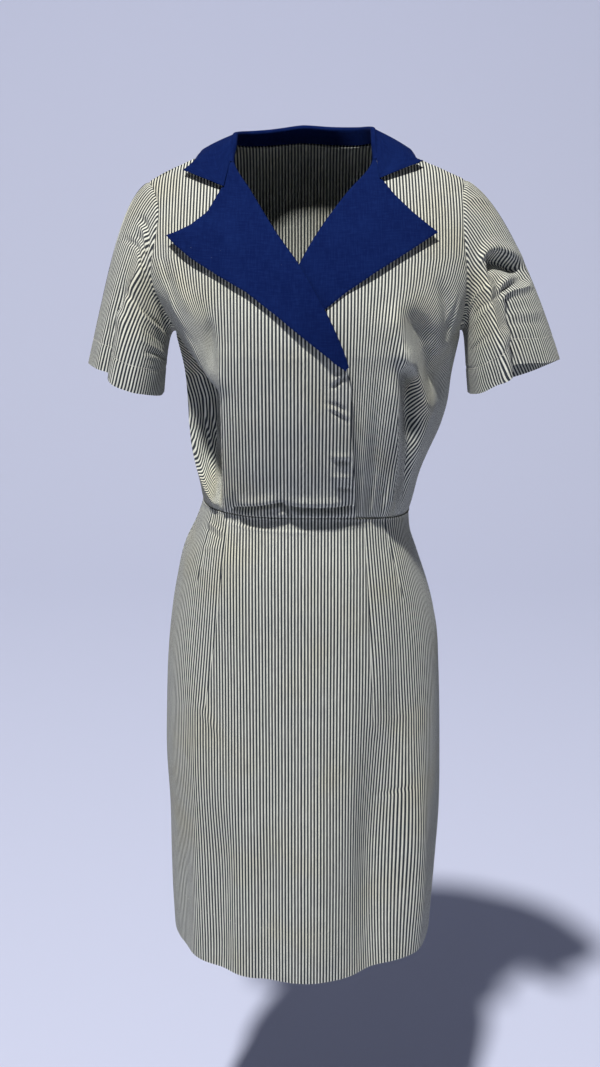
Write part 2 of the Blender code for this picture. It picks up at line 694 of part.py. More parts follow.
def armhole(side):
    """Points round an armhole from the underarm up the front and down the back, at the panels' own levels."""
    up = np.array(ARMHOLE_LEVELS)
    level = np.concatenate((up, up[-2:0:-1]))
    turn = side * armhole_turn(level)
    turn[len(up):] = math.pi - turn[len(up):]
    points = bodice(turn, level)
    facing = grid_normals(bodice, turn, level, points)
    along = unit(np.roll(points, -1, axis=0) - np.roll(points, 1, axis=0))
    away = unit(side * np.cross(along, facing))
    steps = np.linalg.norm(np.roll(points, -1, axis=0) - points, axis=1)
    length = np.concatenate(([0.0], np.cumsum(steps)))
    top = length[len(up) - 1]
    station = np.where(length < top, length / top, 1.0 + (length - top) / (length[-1] - top))
    return points, facing, away, station[:-1]


def sleeve_surface(name, rows):
    """Outer points of a sleeve: each station runs from the armhole, on from the bodice, and down to the hem."""
    side = -1 if name == "right" else 1
    start, seam_facing, away, station = armhole(side)
    hem = SLEEVE_HEM[name]
    end = stack(hem.read("x", station), hem.read("y", station), hem.read("z", station))
    from_top = np.abs(1.0 - station)
    outer_axis, inner_axis = (unit(np.array(axis)) for axis in SLEEVE_AXIS[name])
    axis = unit(outer_axis + (inner_axis - outer_axis) * from_top[:, None])
    start = start + away * SEAM_GAP
    lead = start + away * (SLEEVE_LEAD[name] * SLEEVE_RUN.read("lead", from_top))[:, None]
    lead = lead + np.outer(SLEEVE_RUN.read("spread", from_top), (side, 0.0, 0.0))
    hang = end - axis * SLEEVE_RUN.read("hang", from_top)[:, None]
    w = np.array(rows)[:, None, None]
    points = (1 - w) ** 3 * start + 3 * (1 - w) ** 2 * w * lead + 3 * (1 - w) * w * w * hang + w**3 * end
    return points, seam_facing


def tube_normals(points, first):
    """Outward directions of a grid that closes on itself, with the first row given."""
    around = np.roll(points, -1, axis=1) - np.roll(points, 1, axis=1)
    down = np.gradient(points, axis=0)
    facing = unit(np.cross(around, down))
    if np.sum(facing[-1] * (points[-1] - points[-1].mean(axis=0))) < 0:
        facing = -facing
    facing[0] = first
    return facing


def sleeve(name, material):
    """A short sleeve, a tube from the armhole to a hem of two layers."""
    points, seam_facing = sleeve_surface(name, SLEEVE_ROWS)
    facing = tube_normals(points, seam_facing)
    rows = np.array(SLEEVE_ROWS)[:, None]
    thickness = np.where(rows > SLEEVE_HEM_STARTS, HEM_CLOTH, CLOTH) + np.zeros(points.shape[:2])
    return wall(f"sleeve_{name}", points, facing, thickness, material, tube=True)


def lapel_grid(rows, edge, columns):
    """Places on the front, seen from the front, from the turned line to the lapel's outer edge."""
    roll_z, edge_x, edge_z, lift = (column[:, None] for column in np.array(rows).T)
    roll_x = edge.read("across", roll_z)
    share = np.array(columns)[None, :]
    x = roll_x + (edge_x - roll_x) * share
    z = roll_z + (edge_z - roll_z) * share
    return x, z, lift * share**LAPEL_CURL


def lapel_cloth(name, rows, edge, out, material):
    """The front's own cloth, folded back under the facing."""
    x, z, lift = lapel_grid(rows[:-1], edge, (CLOTH_ENDS[0], *LAPEL_SHARES[1:-1], CLOTH_ENDS[1]))
    turn, level = place_at(x, z)

    def form(t, v):
        return bodice(t, v, out)

    base = form(turn, level)
    facing = grid_normals(form, turn, level, base)
    points = base + facing * (CLOTH_HEIGHT + lift)[..., None]
    return wall(name, points, facing, FACING, material)


def lapel_facing(name, rows, edge, out, material):
    """The navy facing: it comes from inside the front, rolls round its edge and lies on it as the lapel."""
    x, z, lift = lapel_grid(rows, edge, LAPEL_SHARES)
    turn, level = place_at(x, z)

    def form(t, v):
        return bodice(t, v, out)

    base = form(turn, level)
    facing = grid_normals(form, turn, level, base)
    points = base + facing * (FACING_HEIGHT + lift)[..., None]
    root, up = base[:, 0], facing[:, 0]
    along = unit(np.gradient(root, axis=0))
    inward = unit(base[:, 1] - base[:, 0])
    away = np.cross(along, up)
    away = unit(np.where(np.sum(away * inward, axis=1, keepdims=True) > 0, -away, away))
    radius = (FACING_HEIGHT + ROLL_BEHIND) / 2
    middle = root + up * (FACING_HEIGHT - radius) + away * SEAM_GAP
    roll_points, roll_facing = [], []
    for angle in np.radians(ROLL_ANGLES):
        direction = up * math.cos(angle) + away * math.sin(angle)
        roll_points.append(middle + direction * radius)
        roll_facing.append(direction)
    points = np.concatenate((np.stack(roll_points, axis=1), points), axis=1)
    facing = np.concatenate((np.stack(roll_facing, axis=1), facing), axis=1)
    return wall(name, points, facing, FACING, material)


def collar_end(name, share, start, tip, lift):
    """A point on the collar's end: down the seam to the notch, then out along the lower edge to the tip."""
    notch = np.array(COLLAR_NOTCH[name])
    start, tip = start[[0, 2]], tip[[0, 2]]
    if share < NOTCH_SHARE:
        place = start + (notch - start) * share / NOTCH_SHARE
    else:
        place = notch + (tip - notch) * (share - NOTCH_SHARE) / (1 - NOTCH_SHARE)
    turn, level = place_at(place[0], place[1])
    point = bodice(turn, level)
    up = grid_normals(bodice, turn, level, point)
    return point + up * (FACING_HEIGHT + lift * share)


def collar_sections():
    """Visible face of the collar at each station: up the stand, over the fold and down the fall."""
    station = np.linspace(0.0, 1.0, COLLAR_STATIONS)
    neck_x = COLLAR.read("neck_x", station)
    neck_level = COLLAR.read("neck_level", station)
    back = neck_level > SHOULDER
    level = np.where(back, 2 * SHOULDER - neck_level, neck_level)
    edges = np.where(neck_x < 0, edge_turn(OVER_EDGE, level), edge_turn(UNDER_EDGE, level))
    front_turn = np.where(back, turn_at(neck_x, level), edges)
    root = bodice(front_turn, neck_level)
    normal = grid_normals(bodice, front_turn, neck_level, root)
    along = unit(np.gradient(root, axis=0))
    away = np.cross(along, normal)
    centre = np.array(COLLAR_CENTRE)
    towards = unit((centre - root) * (1.0, 1.0, 0.0))
    away = unit(np.where(np.sum(away * towards, axis=1, keepdims=True) < 0, -away, away))

    stand = COLLAR.read("stand", station)[:, None]
    lean = COLLAR.read("lean", station)[:, None]
    grown = ease(stand, 0.0, STAND_GROWN)
    radius = COLLAR_RADIUS
    upright = unit(np.array((0.0, 0.0, 1.0)) + towards * UPRIGHT_LEAN)
    fold_up = unit(away * (1 - grown) + upright * grown)
    sideways = unit(np.cross(along, fold_up))
    sideways = np.where(np.sum(sideways * towards, axis=1, keepdims=True) > 0, -sideways, sideways)
    low_middle = root + normal * (FACING_HEIGHT - radius) + away * SEAM_GAP
    high_middle = root + away * (2 * FACING + LAY_GAP) / 2 + upright * (stand - radius) + towards * lean
    middle = low_middle * (1 - grown) + high_middle * grown
    foot_low = root - normal * ROLL_BEHIND
    foot_high = root + away * (2 * FACING + 2 * SEAM_GAP)
    clear = (away - normal) * grown * (1 - grown) * FOOT_CLEAR
    foot = foot_low * (1 - grown) + foot_high * grown + clear

    first = middle - sideways * radius
    sections = [foot + (first - foot) * share for share in STAND_SHARES]
    for angle in np.radians(FOLD_ANGLES):
        sections.append(middle - sideways * math.cos(angle) * radius + fold_up * math.sin(angle) * radius)
    last = sections[-1]

    edge_x = COLLAR.read("edge_x", station)
    edge_level = COLLAR.read("edge_level", station)
    edge_back = edge_level > SHOULDER
    edge_turn_at = turn_at(edge_x, np.where(edge_back, 2 * SHOULDER - edge_level, edge_level))
    edge = bodice(edge_turn_at, edge_level)
    edge_normal = grid_normals(bodice, edge_turn_at, edge_level, edge)
    edge = edge + edge_normal * (FACING_HEIGHT + COLLAR.read("lift", station)[:, None])
    ends = (("right", 0, station), ("left", -1, 1 - station))
    lift = COLLAR.read("lift", station)
    for share in FALL_SHARES:
        point = last + (edge - last) * share
        swell = FALL_SWELL * math.sin(math.pi * share)
        for name, row, from_end in ends:
            bend = np.clip(1 - from_end / NOTCH_REACH, 0.0, 1.0)
            shift = collar_end(name, share, last[row], edge[row], lift[row]) - point[row]
            point = point + np.outer(bend, shift) + sideways * swell * bend[:, None]
        sections.append(point + sideways * swell)
    return np.stack(sections, axis=1)


def sheet_normals(points, like):
    """Directions of an open grid, on the side that a sample direction of its middle is on."""
    facing = unit(np.cross(np.gradient(points, axis=0), np.gradient(points, axis=1)))
    middle = facing[len(facing) // 2, -1]
    return facing if middle @ like > 0 else -facing


def collar_pieces(navy, striped):
    """The upper collar, and the under collar beneath its fall."""
    points = collar_sections()
    facing = sheet_normals(points, np.array((0.0, 1.0, 1.0)))
    wall("collar", points, facing, FACING, navy)
    start = len(STAND_SHARES) + len(FOLD_ANGLES) + 1
    fall = points[1:-1, start:]
    fall_facing = facing[1:-1, start:]
    under = fall - fall_facing * (FACING + 2 * SEAM_GAP)
    wall("collar_under", under, fall_facing, FACING, striped)


for old in list(bpy.data.objects):
    bpy.data.objects.remove(old)

dress = bpy.data.collections.new("work_dress")
bpy.context.scene.collection.children.link(dress)

striped_cotton = cloth_material("striped_cotton", STRIPED, STRIPED_ROUGHNESS)
navy_cotton = cloth_material("navy_cotton", NAVY, NAVY_ROUGHNESS)

front_panel("front_over", -1, OVER_EDGE, over_out, OVER_COLUMNS, striped_cotton)
front_panel("front_under", 1, UNDER_EDGE, under_out, UNDER_COLUMNS, striped_cotton)
back_panel(striped_cotton)
skirt_panel("skirt_front", 0.0, SKIRT_FRONT_COLUMNS, striped_cotton)
skirt_panel("skirt_back", math.pi, SKIRT_BACK_COLUMNS, striped_cotton)
for sleeve_side in ("right", "left"):
    sleeve(sleeve_side, striped_cotton)
lapel_cloth("lapel_over_cloth", OVER_LAPEL, OVER_EDGE, over_out, striped_cotton)
lapel_facing("lapel_over", OVER_LAPEL, OVER_EDGE, over_out, navy_cotton)
lapel_cloth("lapel_under_cloth", UNDER_LAPEL, UNDER_EDGE, under_out, striped_cotton)
lapel_facing("lapel_under", UNDER_LAPEL, UNDER_EDGE, under_out, navy_cotton)
collar_pieces(navy_cotton, striped_cotton)
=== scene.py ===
"""The looks of the work dress: striped cotton, navy collar and lapels, with their folds and stitches.

Metres, in the part's own frame: +Z up, front towards -Y, the wearer's left towards +X.
"""

import math

import bpy
import numpy as np
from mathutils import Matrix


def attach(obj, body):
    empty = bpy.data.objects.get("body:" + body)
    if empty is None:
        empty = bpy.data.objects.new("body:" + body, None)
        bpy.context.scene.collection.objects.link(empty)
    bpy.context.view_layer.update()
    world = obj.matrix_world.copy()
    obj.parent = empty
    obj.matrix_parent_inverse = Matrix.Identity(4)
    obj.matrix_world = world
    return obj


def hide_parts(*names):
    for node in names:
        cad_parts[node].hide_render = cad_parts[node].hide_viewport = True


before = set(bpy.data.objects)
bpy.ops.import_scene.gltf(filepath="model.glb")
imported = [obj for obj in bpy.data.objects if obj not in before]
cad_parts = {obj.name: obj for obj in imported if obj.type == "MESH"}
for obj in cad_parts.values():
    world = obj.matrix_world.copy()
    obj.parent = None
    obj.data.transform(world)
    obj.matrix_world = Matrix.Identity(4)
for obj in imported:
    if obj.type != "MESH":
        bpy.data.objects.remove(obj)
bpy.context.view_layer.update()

bpy.ops.object.select_all(action="DESELECT")


# ---- The camera
# It looks a little down on the dress from in front, at the photograph's height and angle, from about 1.7 m
# away through a lens of about 50 mm.

lens = bpy.data.cameras.new("camera")
lens.sensor_width = 36.0
lens.lens = 49.8
lens.clip_start = 0.05
camera = bpy.data.objects.new("camera", lens)
camera.location = (-0.0035, -1.717, 0.116)
camera.rotation_euler = (math.radians(71.6), 0.0, 0.0)
bpy.context.scene.collection.objects.link(camera)
bpy.context.scene.camera = camera


# ---- The right front of the bodice
# It is cut from striped cotton with the stripes upright, laps over the left front, and is gathered a little
# into the waist seam. The cloth hangs from the bust, folds back to the waist and puffs out over the seam.

WAIST_HEIGHT = -0.405
BUST_HEIGHT = -0.207
BUST = 1.0
SHOULDER = 2.0
SHOULDER_TOP = 0.024
SHOULDER_FALL = 0.061
SHOULDER_BACK = 0.008
HALF_SHOULDER_RIGHT = 0.181
HALF_SHOULDER_LEFT = 0.195
SQUARENESS = 2.25
CLOTH = 0.0010
HALF_SEAM_GAP = 0.00015
OVER_OUT = (0.0006, 0.0037)
UNDER_IN = (0.0012, 0.0014)
FORM_STEP = 0.004
MM = 0.001


def figures(text, units=1.0):
    """Rows of numbers from lines of text, times the units of their columns. Lines with # are remarks."""
    lines = [line.split() for line in text.splitlines() if line.strip() and "#" not in line]
    return np.array(lines, float) * units


class Table:
    """Rows of named columns, read smoothly between the rows by the first column."""

    def __init__(self, columns, text, units=1.0):
        self.columns = columns.split()
        self.rows = figures(text, units)

    def read(self, column, at):
        keys = self.rows[:, 0]
        values = self.rows[:, self.columns.index(column)]
        steps = np.diff(keys)
        slopes = np.diff(values) / steps
        tangents = np.concatenate((slopes[:1], np.zeros(len(slopes) - 1), slopes[-1:]))
        tangents[1:-1] = (slopes[:-1] * steps[1:] + slopes[1:] * steps[:-1]) / (steps[:-1] + steps[1:])
        at = np.clip(np.asarray(at, float), keys[0], keys[-1])
        row = np.clip(np.searchsorted(keys, at) - 1, 0, len(steps) - 1)
        t = (at - keys[row]) / steps[row]
        start = (1 + 2 * t) * (1 - t) ** 2 * values[row] + t * (1 - t) ** 2 * steps[row] * tangents[row]
        end = t * t * (3 - 2 * t) * values[row + 1] - t * t * (1 - t) * steps[row] * tangents[row + 1]
        return start + end


BODICE = Table("height right left front back", """
    -405 120 128 98 88
    -396 122 131 103 92
    -384 124 134 108 96
    -359 129 140 117 100
    -334 133 150 126 103
    -310 135 162 133 105
    -285 136 170 140 107
    -245 139 175 147 108
    -207 147 182 151 108
""", MM)
YOKE = Table("level rise front back right left armhole", """
    1 0 1 1 0.147 0.182 90
    1.04 0.046 0.998 1 0.149 0.183 81
    1.15 0.17 0.975 0.997 0.162 0.19 73.5
    1.3 0.34 0.885 0.985 0.182 0.2 66
    1.45 0.5 0.75 0.95 0.194 0.208 60.5
    1.6 0.66 0.58 0.875 0.197 0.215 55.5
    1.75 0.81 0.39 0.74 0.2 0.222 52.5
    1.88 0.925 0.215 0.51 0.208 0.224 52
    1.95 0.975 0.115 0.29 0.212 0.225 52.5
    2 1 0 0 0.215 0.226 53
""")
OVER_EDGE = Table("height across", """
    -405 61
    -300 53
    -219 46.5
    -179 31
    -150 16
    -116 -5
    -85 -29
    -40 -60
    -13 -79
    6 -81
""", MM)
UNDER_EDGE = Table("height across", """
    -405 -61
    -300 -55
    -219 -47
    -180 -36
    -150 -22
    -116 -5
    -75 22
    -42 50
    -12 79
    7 81
""", MM)
SIDE_SAG = {"waist": (0.003, 0.015, 0.007), "hem": (-0.003, -0.010, -0.004)}


def power(value, exponent):
    """A signed power, which keeps the side that a value is on."""
    return np.sign(value) * np.abs(value) ** exponent


def ease(value, start, end):
    """0 at start, 1 at end, and a soft curve between them."""
    t = np.clip((value - start) / (end - start), 0.0, 1.0)
    return t * t * (3 - 2 * t)


def unit(vectors):
    return vectors / np.maximum(np.linalg.norm(vectors, axis=-1, keepdims=True), 1e-12)


def turned_to(wanted, directions):
    """Directions, each turned about where it points away from the wanted one."""
    return np.where(np.sum(directions * wanted, axis=-1, keepdims=True) < 0, -directions, directions)


def gap_to(points, *edges):
    """How far the points of a grid lie from the nearest of some of its edges."""
    return np.minimum.reduce([np.linalg.norm(points - edge, axis=-1) for edge in edges])


def stack(x, y, z):
    return np.stack(np.broadcast_arrays(x, y, z), axis=-1)


def by_side(across, right, left):
    return np.where(across < 0, right, left)


def shoulder_height(x):
    reach = np.abs(x) / by_side(x, HALF_SHOULDER_RIGHT, HALF_SHOULDER_LEFT)
    return SHOULDER_TOP - SHOULDER_FALL * reach**1.5


def sag(line, turn):
    """How far a seam or hem lies below its height at the middle of the front."""
    right, left, back = SIDE_SAG[line]
    side = np.sin(turn)
    middle = np.where(np.cos(turn) > 0, 0.0, back)
    return middle + (by_side(side, right, left) - middle) * side**2


def half_width(turn, level):
    side = np.sin(turn)
    height = WAIST_HEIGHT + (BUST_HEIGHT - WAIST_HEIGHT) * level
    low = by_side(side, BODICE.read("right", height), BODICE.read("left", height))
    high = by_side(side, YOKE.read("right", level), YOKE.read("left", level))
    return np.where(level < BUST, low, high)


def bodice_form(turn, level):
    """The bodice without its folds: level 0 at the waist, 1 at the bust, 2 on the shoulder, 3 behind it."""
    turn, level = np.broadcast_arrays(np.asarray(turn, float), np.asarray(level, float))
    behind = level > SHOULDER
    turn = np.where(behind, math.pi - turn, turn)
    level = np.where(behind, 2 * SHOULDER - level, level)
    x = half_width(turn, level) * power(np.sin(turn), 2 / SQUARENESS)
    along = power(np.cos(turn), 2 / SQUARENESS)
    front = along > 0
    height = WAIST_HEIGHT + (BUST_HEIGHT - WAIST_HEIGHT) * level
    low_y = -np.where(front, BODICE.read("front", height), BODICE.read("back", height)) * along
    waist = WAIST_HEIGHT - sag("waist", turn)
    low_z = waist + (BUST_HEIGHT - waist) * level
    bust_depth = np.where(front, BODICE.read("front", BUST_HEIGHT), BODICE.read("back", BUST_HEIGHT))
    rise = YOKE.read("rise", level)
    reach = np.where(front, YOKE.read("front", level), YOKE.read("back", level))
    high_y = SHOULDER_BACK * rise - bust_depth * along * reach
    high_z = BUST_HEIGHT + (shoulder_height(x) - BUST_HEIGHT) * rise
    return stack(x, np.where(level < BUST, low_y, high_y), np.where(level < BUST, low_z, high_z))


def form_normals(form, turn, level):
    """Outward directions of a form, which is a function of a turn and a level."""
    across = form(turn + FORM_STEP, level) - form(turn - FORM_STEP, level)
    up = form(turn, level + FORM_STEP) - form(turn, level - FORM_STEP)
    points = form(turn, level)
    radial = (points - (0.0, SHOULDER_BACK, 0.0)) * (1.0, 1.0, 0.0)
    near_top = points[..., 2:] > shoulder_height(points[..., :1]) - 0.03
    return turned_to(np.where(near_top, (0.0, 0.0, 1.0), radial), unit(np.cross(across, up)))


def turn_at(x, level):
    side = np.sign(x) * math.pi / 2
    share = np.clip(np.abs(x) / half_width(side, level), 0.0, 1.0)
    return np.sign(x) * np.arcsin(share ** (SQUARENESS / 2))


def place_at(x, z):
    """Turn and level of the front of the bodice at a place seen from the front."""
    low = (z - WAIST_HEIGHT) / (BUST_HEIGHT - WAIST_HEIGHT)
    levels = np.linspace(BUST, SHOULDER, 401)
    rise = (z - BUST_HEIGHT) / (shoulder_height(x) - BUST_HEIGHT)
    high = np.interp(rise, YOKE.read("rise", levels), levels)
    level = np.where(z < BUST_HEIGHT, low, high)
    return turn_at(x, level), level


def edge_turn(edge, level):
    x = edge.read("across", WAIST_HEIGHT * (1 - np.asarray(level) / SHOULDER))
    for _ in range(12):
        turn = turn_at(x, level)
        x = edge.read("across", bodice_form(turn, level)[..., 2])
    return turn_at(x, level)


def over_out(points):
    """How far the right front lies outside the body's surface where it crosses the left one."""
    lapped = ease(points[..., 0], -0.110, -0.055) * ease(points[..., 2], -0.030, -0.100)
    return lapped * (OVER_OUT[0] + OVER_OUT[1] * ease(points[..., 2], WAIST_HEIGHT, -0.375))


def under_out(points):
    """How far the left front lies inside the body's surface where the right one covers it."""
    past = points[..., 0] - OVER_EDGE.read("across", points[..., 2])
    sink = UNDER_IN[0] + UNDER_IN[1] * ease(points[..., 2], WAIST_HEIGHT, -0.375)
    return -sink * ease(past, 0.045, 0.004)


def armhole_turn(level):
    return np.radians(np.where(level < BUST, 90.0, YOKE.read("armhole", level)))


# Creases, each from its start to its end as seen from the front or back: how far its middle bows to the
# +X side, its width on either side, how far it stands out, or in where negative, and how softly it ends
CREASE_UNITS = (MM,) * 8 + (1.0,)


def crease_height(creases, x, z):
    total = np.zeros_like(x)
    for start_x, start_z, end_x, end_z, bow, minus_side, plus_side, out, soft in creases:
        run = np.array((end_x - start_x, end_z - start_z))
        length = math.hypot(*run)
        run = run / length
        far_x, far_z = x - start_x, z - start_z
        along = (far_x * run[0] + far_z * run[1]) / length
        inside = np.clip(along, 0.0, 1.0)
        aside = -far_x * run[1] + far_z * run[0] - bow * 4 * inside * (1 - inside)
        width = np.where(aside < 0, minus_side, plus_side)
        ends = ease(along, -soft, soft) * ease(along, 1 + soft, 1 - soft)
        total += out * ends * np.exp(-((aside / width) ** 2))
    return total


RIPPLE_WAVES = 9


def ripple(x, z, seed, size, height):
    """Slow unevenness of worn cloth: a few crossing waves of about a size, the same at each run."""
    chance = np.random.default_rng(seed)
    total = np.zeros_like(x)
    for _ in range(RIPPLE_WAVES):
        angle = chance.uniform(-0.9, 0.9)
        wave = 2 * math.pi / (size * chance.uniform(0.7, 1.6))
        shift = chance.uniform(0, 2 * math.pi)
        total += np.sin((x * math.cos(angle) + z * math.sin(angle) * 0.5) * wave + shift)
    return total * height / 3.0


def cumulated(points, axis):
    """Length along a grid's lines from its first row or column."""
    steps = np.linalg.norm(np.diff(points, axis=axis), axis=-1)
    start = np.zeros_like(np.take(steps, [0], axis=axis))
    return np.concatenate((start, np.cumsum(steps, axis=axis)), axis=axis)


class Grain:
    """Places on the flat cloth for a form: across from its middle line and up from its first level."""

    def __init__(self, form, levels):
        self.turns = np.linspace(-1.9, 1.9, 191)
        self.levels = np.linspace(*levels, 161)
        points = form(self.turns[None, :], self.levels[:, None])
        across = cumulated(points, 1)
        middle = len(self.turns) // 2
        self.across = across - across[:, middle : middle + 1]
        self.up = cumulated(points, 0)

    def read(self, turn, level):
        column = np.interp(turn, self.turns, np.arange(len(self.turns)))
        row = np.interp(level, self.levels, np.arange(len(self.levels)))
        i = np.clip(row.astype(int), 0, len(self.levels) - 2)
        j = np.clip(column.astype(int), 0, len(self.turns) - 2)
        s, t = row - i, column - j
        values = []
        for grid in (self.across, self.up):
            low = grid[i, j] * (1 - t) + grid[i, j + 1] * t
            high = grid[i + 1, j] * (1 - t) + grid[i + 1, j + 1] * t
            values.append(low * (1 - s) + high * s)
        return np.stack(values, axis=-1)


def fine(count, ends=(True, True)):
    """Shares from 0 to 1, closer together at the ends that are sewn."""
    shares = list(np.linspace(0.0, 1.0, count))
    step = 1.0 / (count - 1)
    for end, dense in zip((0.0, 1.0), ends):
        if dense:
            shares += [abs(end - step * part) for part in (0.25, 0.5, 0.75)]
    return np.unique(np.round(shares, 9))


def tucked(distance, depth=0.0011, reach=0.0022):
    """How far cloth rolls in towards a seam at a distance from it, or out where the depth is negative."""
    return -depth * np.exp(-((distance / reach) ** 2))


def shell(name, outer, like, grain, material, thickness, tube):
    """A thin wall of cloth from its outer points, the way they face, and their places on the flat cloth."""
    rows, columns = outer.shape[:2]
    around = np.roll(outer, -1, axis=1) - np.roll(outer, 1, axis=1) if tube else np.gradient(outer, axis=1)
    facing = turned_to(like, unit(np.cross(around, np.gradient(outer, axis=0))))
    inner = outer - facing * thickness
    count = rows * columns
    cells = columns if tube else columns - 1
    if grain.ndim == 3:
        grain = np.stack((grain[:, :cells], grain[:, 1 : cells + 1]), axis=2)
    i, j = np.meshgrid(np.arange(rows - 1), np.arange(cells), indexing="ij")
    k = (j + 1) % columns
    one, two = i * columns, (i + 1) * columns
    quads = np.stack((one + j, one + k, two + k, two + j), axis=-1)
    places = np.stack((grain[i, j, 0], grain[i, j, 1], grain[i + 1, j, 1], grain[i + 1, j, 0]), axis=-2)
    quads, places = quads.reshape(-1, 4), places.reshape(-1, 4, 2)
    faces = [quads, quads[:, ::-1] + count]
    flat = [places, places[:, ::-1]]
    for row, flip in ((0, 1), (rows - 1, -1)):
        j = np.arange(cells)
        a, b = row * columns + j, row * columns + (j + 1) % columns
        rim = np.stack((b, a, a + count, b + count), axis=-1)[:, ::flip]
        near, far = grain[row, j, 0], grain[row, j, 1]
        faces.append(rim)
        flat.append(np.stack((far, near, near, far), axis=1)[:, ::flip])
    if not tube:
        for column, cell, side, flip in ((0, 0, 0, -1), (columns - 1, cells - 1, 1, 1)):
            i = np.arange(rows - 1)
            a, b = i * columns + column, (i + 1) * columns + column
            rim = np.stack((b, a, a + count, b + count), axis=-1)[:, ::flip]
            near, far = grain[i, cell, side], grain[i + 1, cell, side]
            faces.append(rim)
            flat.append(np.stack((far, near, near, far), axis=1)[:, ::flip])
    faces, flat = np.concatenate(faces), np.concatenate(flat)
    first = quads[0]
    points = np.concatenate((outer.reshape(-1, 3), inner.reshape(-1, 3)))
    out = np.cross(points[first[1]] - points[first[0]], points[first[2]] - points[first[0]])
    if out @ like.reshape(-1, 3)[first[0]] < 0:
        faces, flat = faces[:, ::-1], flat[:, ::-1]
    mesh = bpy.data.meshes.new(name)
    mesh.vertices.add(len(points))
    mesh.vertices.foreach_set("co", points.ravel().astype(np.float32))
    mesh.loops.add(faces.size)
    mesh.loops.foreach_set("vertex_index", faces.ravel().astype(np.int32))
    mesh.polygons.add(len(faces))
    mesh.polygons.foreach_set("loop_start", np.arange(0, faces.size, 4, dtype=np.int32))
    mesh.update(calc_edges=True)
    mesh.validate()
    layer = mesh.uv_layers.new(name="cloth")
    layer.data.foreach_set("uv", flat.reshape(-1).astype(np.float32))
    mesh.shade_smooth()
    mesh.set_sharp_from_angle(angle=math.radians(55))
    mesh.materials.append(material)
    piece = bpy.data.objects.new(name, mesh)
    bpy.context.scene.collection.objects.link(piece)
    return piece


def dress_piece(name, outer, facing, grain, cloth, thickness=CLOTH, tube=False, places=None):
    """A piece of the dress rides with it and stands for its solid; its area on the flat cloth is worked out,
    and not used.
    """
    slot, material = cloth
    piece = shell(name, outer, facing, grain if places is None else places, material, thickness, tube)
    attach(piece, "root")
    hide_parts(name)
    across, up = grain[..., 0], grain[..., 1]
    width, length = np.ptp(across), np.ptp(up)
    one = np.diff(across, axis=1)[:-1] * np.diff(up, axis=0)[:, :-1]
    two = np.diff(up, axis=1)[:-1] * np.diff(across, axis=0)[:, :-1]
    area = float(np.abs(one - two).sum())
    area = min(max(area, 0.31 * width * length), width * length)


THREAD_PITCH = 0.00048


class Number:
    """A value in a cloth's shader, on which sums and products add Math nodes."""

    def __init__(self, dye, socket):
        self.dye = dye
        self.socket = socket

    def math(self, operation, *others):
        return self.dye.node("ShaderNodeMath", {"operation": operation}, dict(enumerate((self, *others))))

    def __add__(self, other):
        return self.math("ADD", other)

    def __sub__(self, other):
        return self.math("SUBTRACT", other)

    def __mul__(self, other):
        return self.math("MULTIPLY", other)


class Dye:
    """The shader of one cloth, built up node by node on its Principled shader."""

    def __init__(self, name):
        self.material = bpy.data.materials.new(name)
        self.material.use_nodes = True
        self.tree = self.material.node_tree
        self.surface = self.tree.nodes["Principled BSDF"]

    def plug(self, value, socket):
        if isinstance(value, Number):
            self.tree.links.new(value.socket, socket)
        else:
            socket.default_value = value

    def node(self, kind, settings=None, inputs=None, output=0):
        made = self.tree.nodes.new(kind)
        for name, value in (settings or {}).items():
            setattr(made, name, value)
        for place, value in (inputs or {}).items():
            self.plug(value, made.inputs[place])
        return Number(self, made.outputs[output])

    def places(self):
        """Places across and along the flat cloth."""
        flat = self.node("ShaderNodeUVMap", {"uv_map": "cloth"})
        return flat, [self.node("ShaderNodeSeparateXYZ", {}, {0: flat}, axis) for axis in ("X", "Y")]

    def weave(self, across, along):
        """Threads that pass over and under each other."""
        waves = [(place * (2 * math.pi / THREAD_PITCH)).math("SINE") for place in (along, across)]
        return waves[0] * waves[1]

    def noise(self, place, scale, detail, stretch=None):
        if stretch:
            place = self.node("ShaderNodeMapping", {}, {"Vector": place, "Scale": stretch})
        return self.node("ShaderNodeTexNoise", {}, {"Vector": place, "Scale": scale, "Detail": detail})

    def blend(self, share, one, other, kind="MIX"):
        settings = {"data_type": "RGBA", "blend_type": kind, "clamp_factor": True}
        return self.node("ShaderNodeMix", settings, {0: share, 6: one, 7: other}, 2)

    def soft_step(self, value, low, high, start=0.0, end=1.0):
        settings = {"interpolation_type": "SMOOTHSTEP"}
        return self.node("ShaderNodeMapRange", settings, {0: value, 1: low, 2: high, 3: start, 4: end})

    def finish(self, colour, roughness, height, bump_depth, sheen, gloss=0.25):
        self.plug(colour, self.surface.inputs["Base Color"])
        self.plug(roughness, self.surface.inputs["Roughness"])
        bump = self.node("ShaderNodeBump", {}, {"Strength": 0.7, "Distance": bump_depth, "Height": height})
        self.plug(bump, self.surface.inputs["Normal"])
        self.surface.inputs["Specular IOR Level"].default_value = gloss
        self.surface.inputs["Sheen Weight"].default_value = sheen
        self.surface.inputs["Sheen Roughness"].default_value = 0.5
        return self.material


STRIPE_PITCH = 0.00385
CREAM = (0.80, 0.81, 0.71, 1.0)
CHARCOAL = (0.036, 0.043, 0.052, 1.0)
AGED = (0.97, 0.91, 0.75, 1.0)


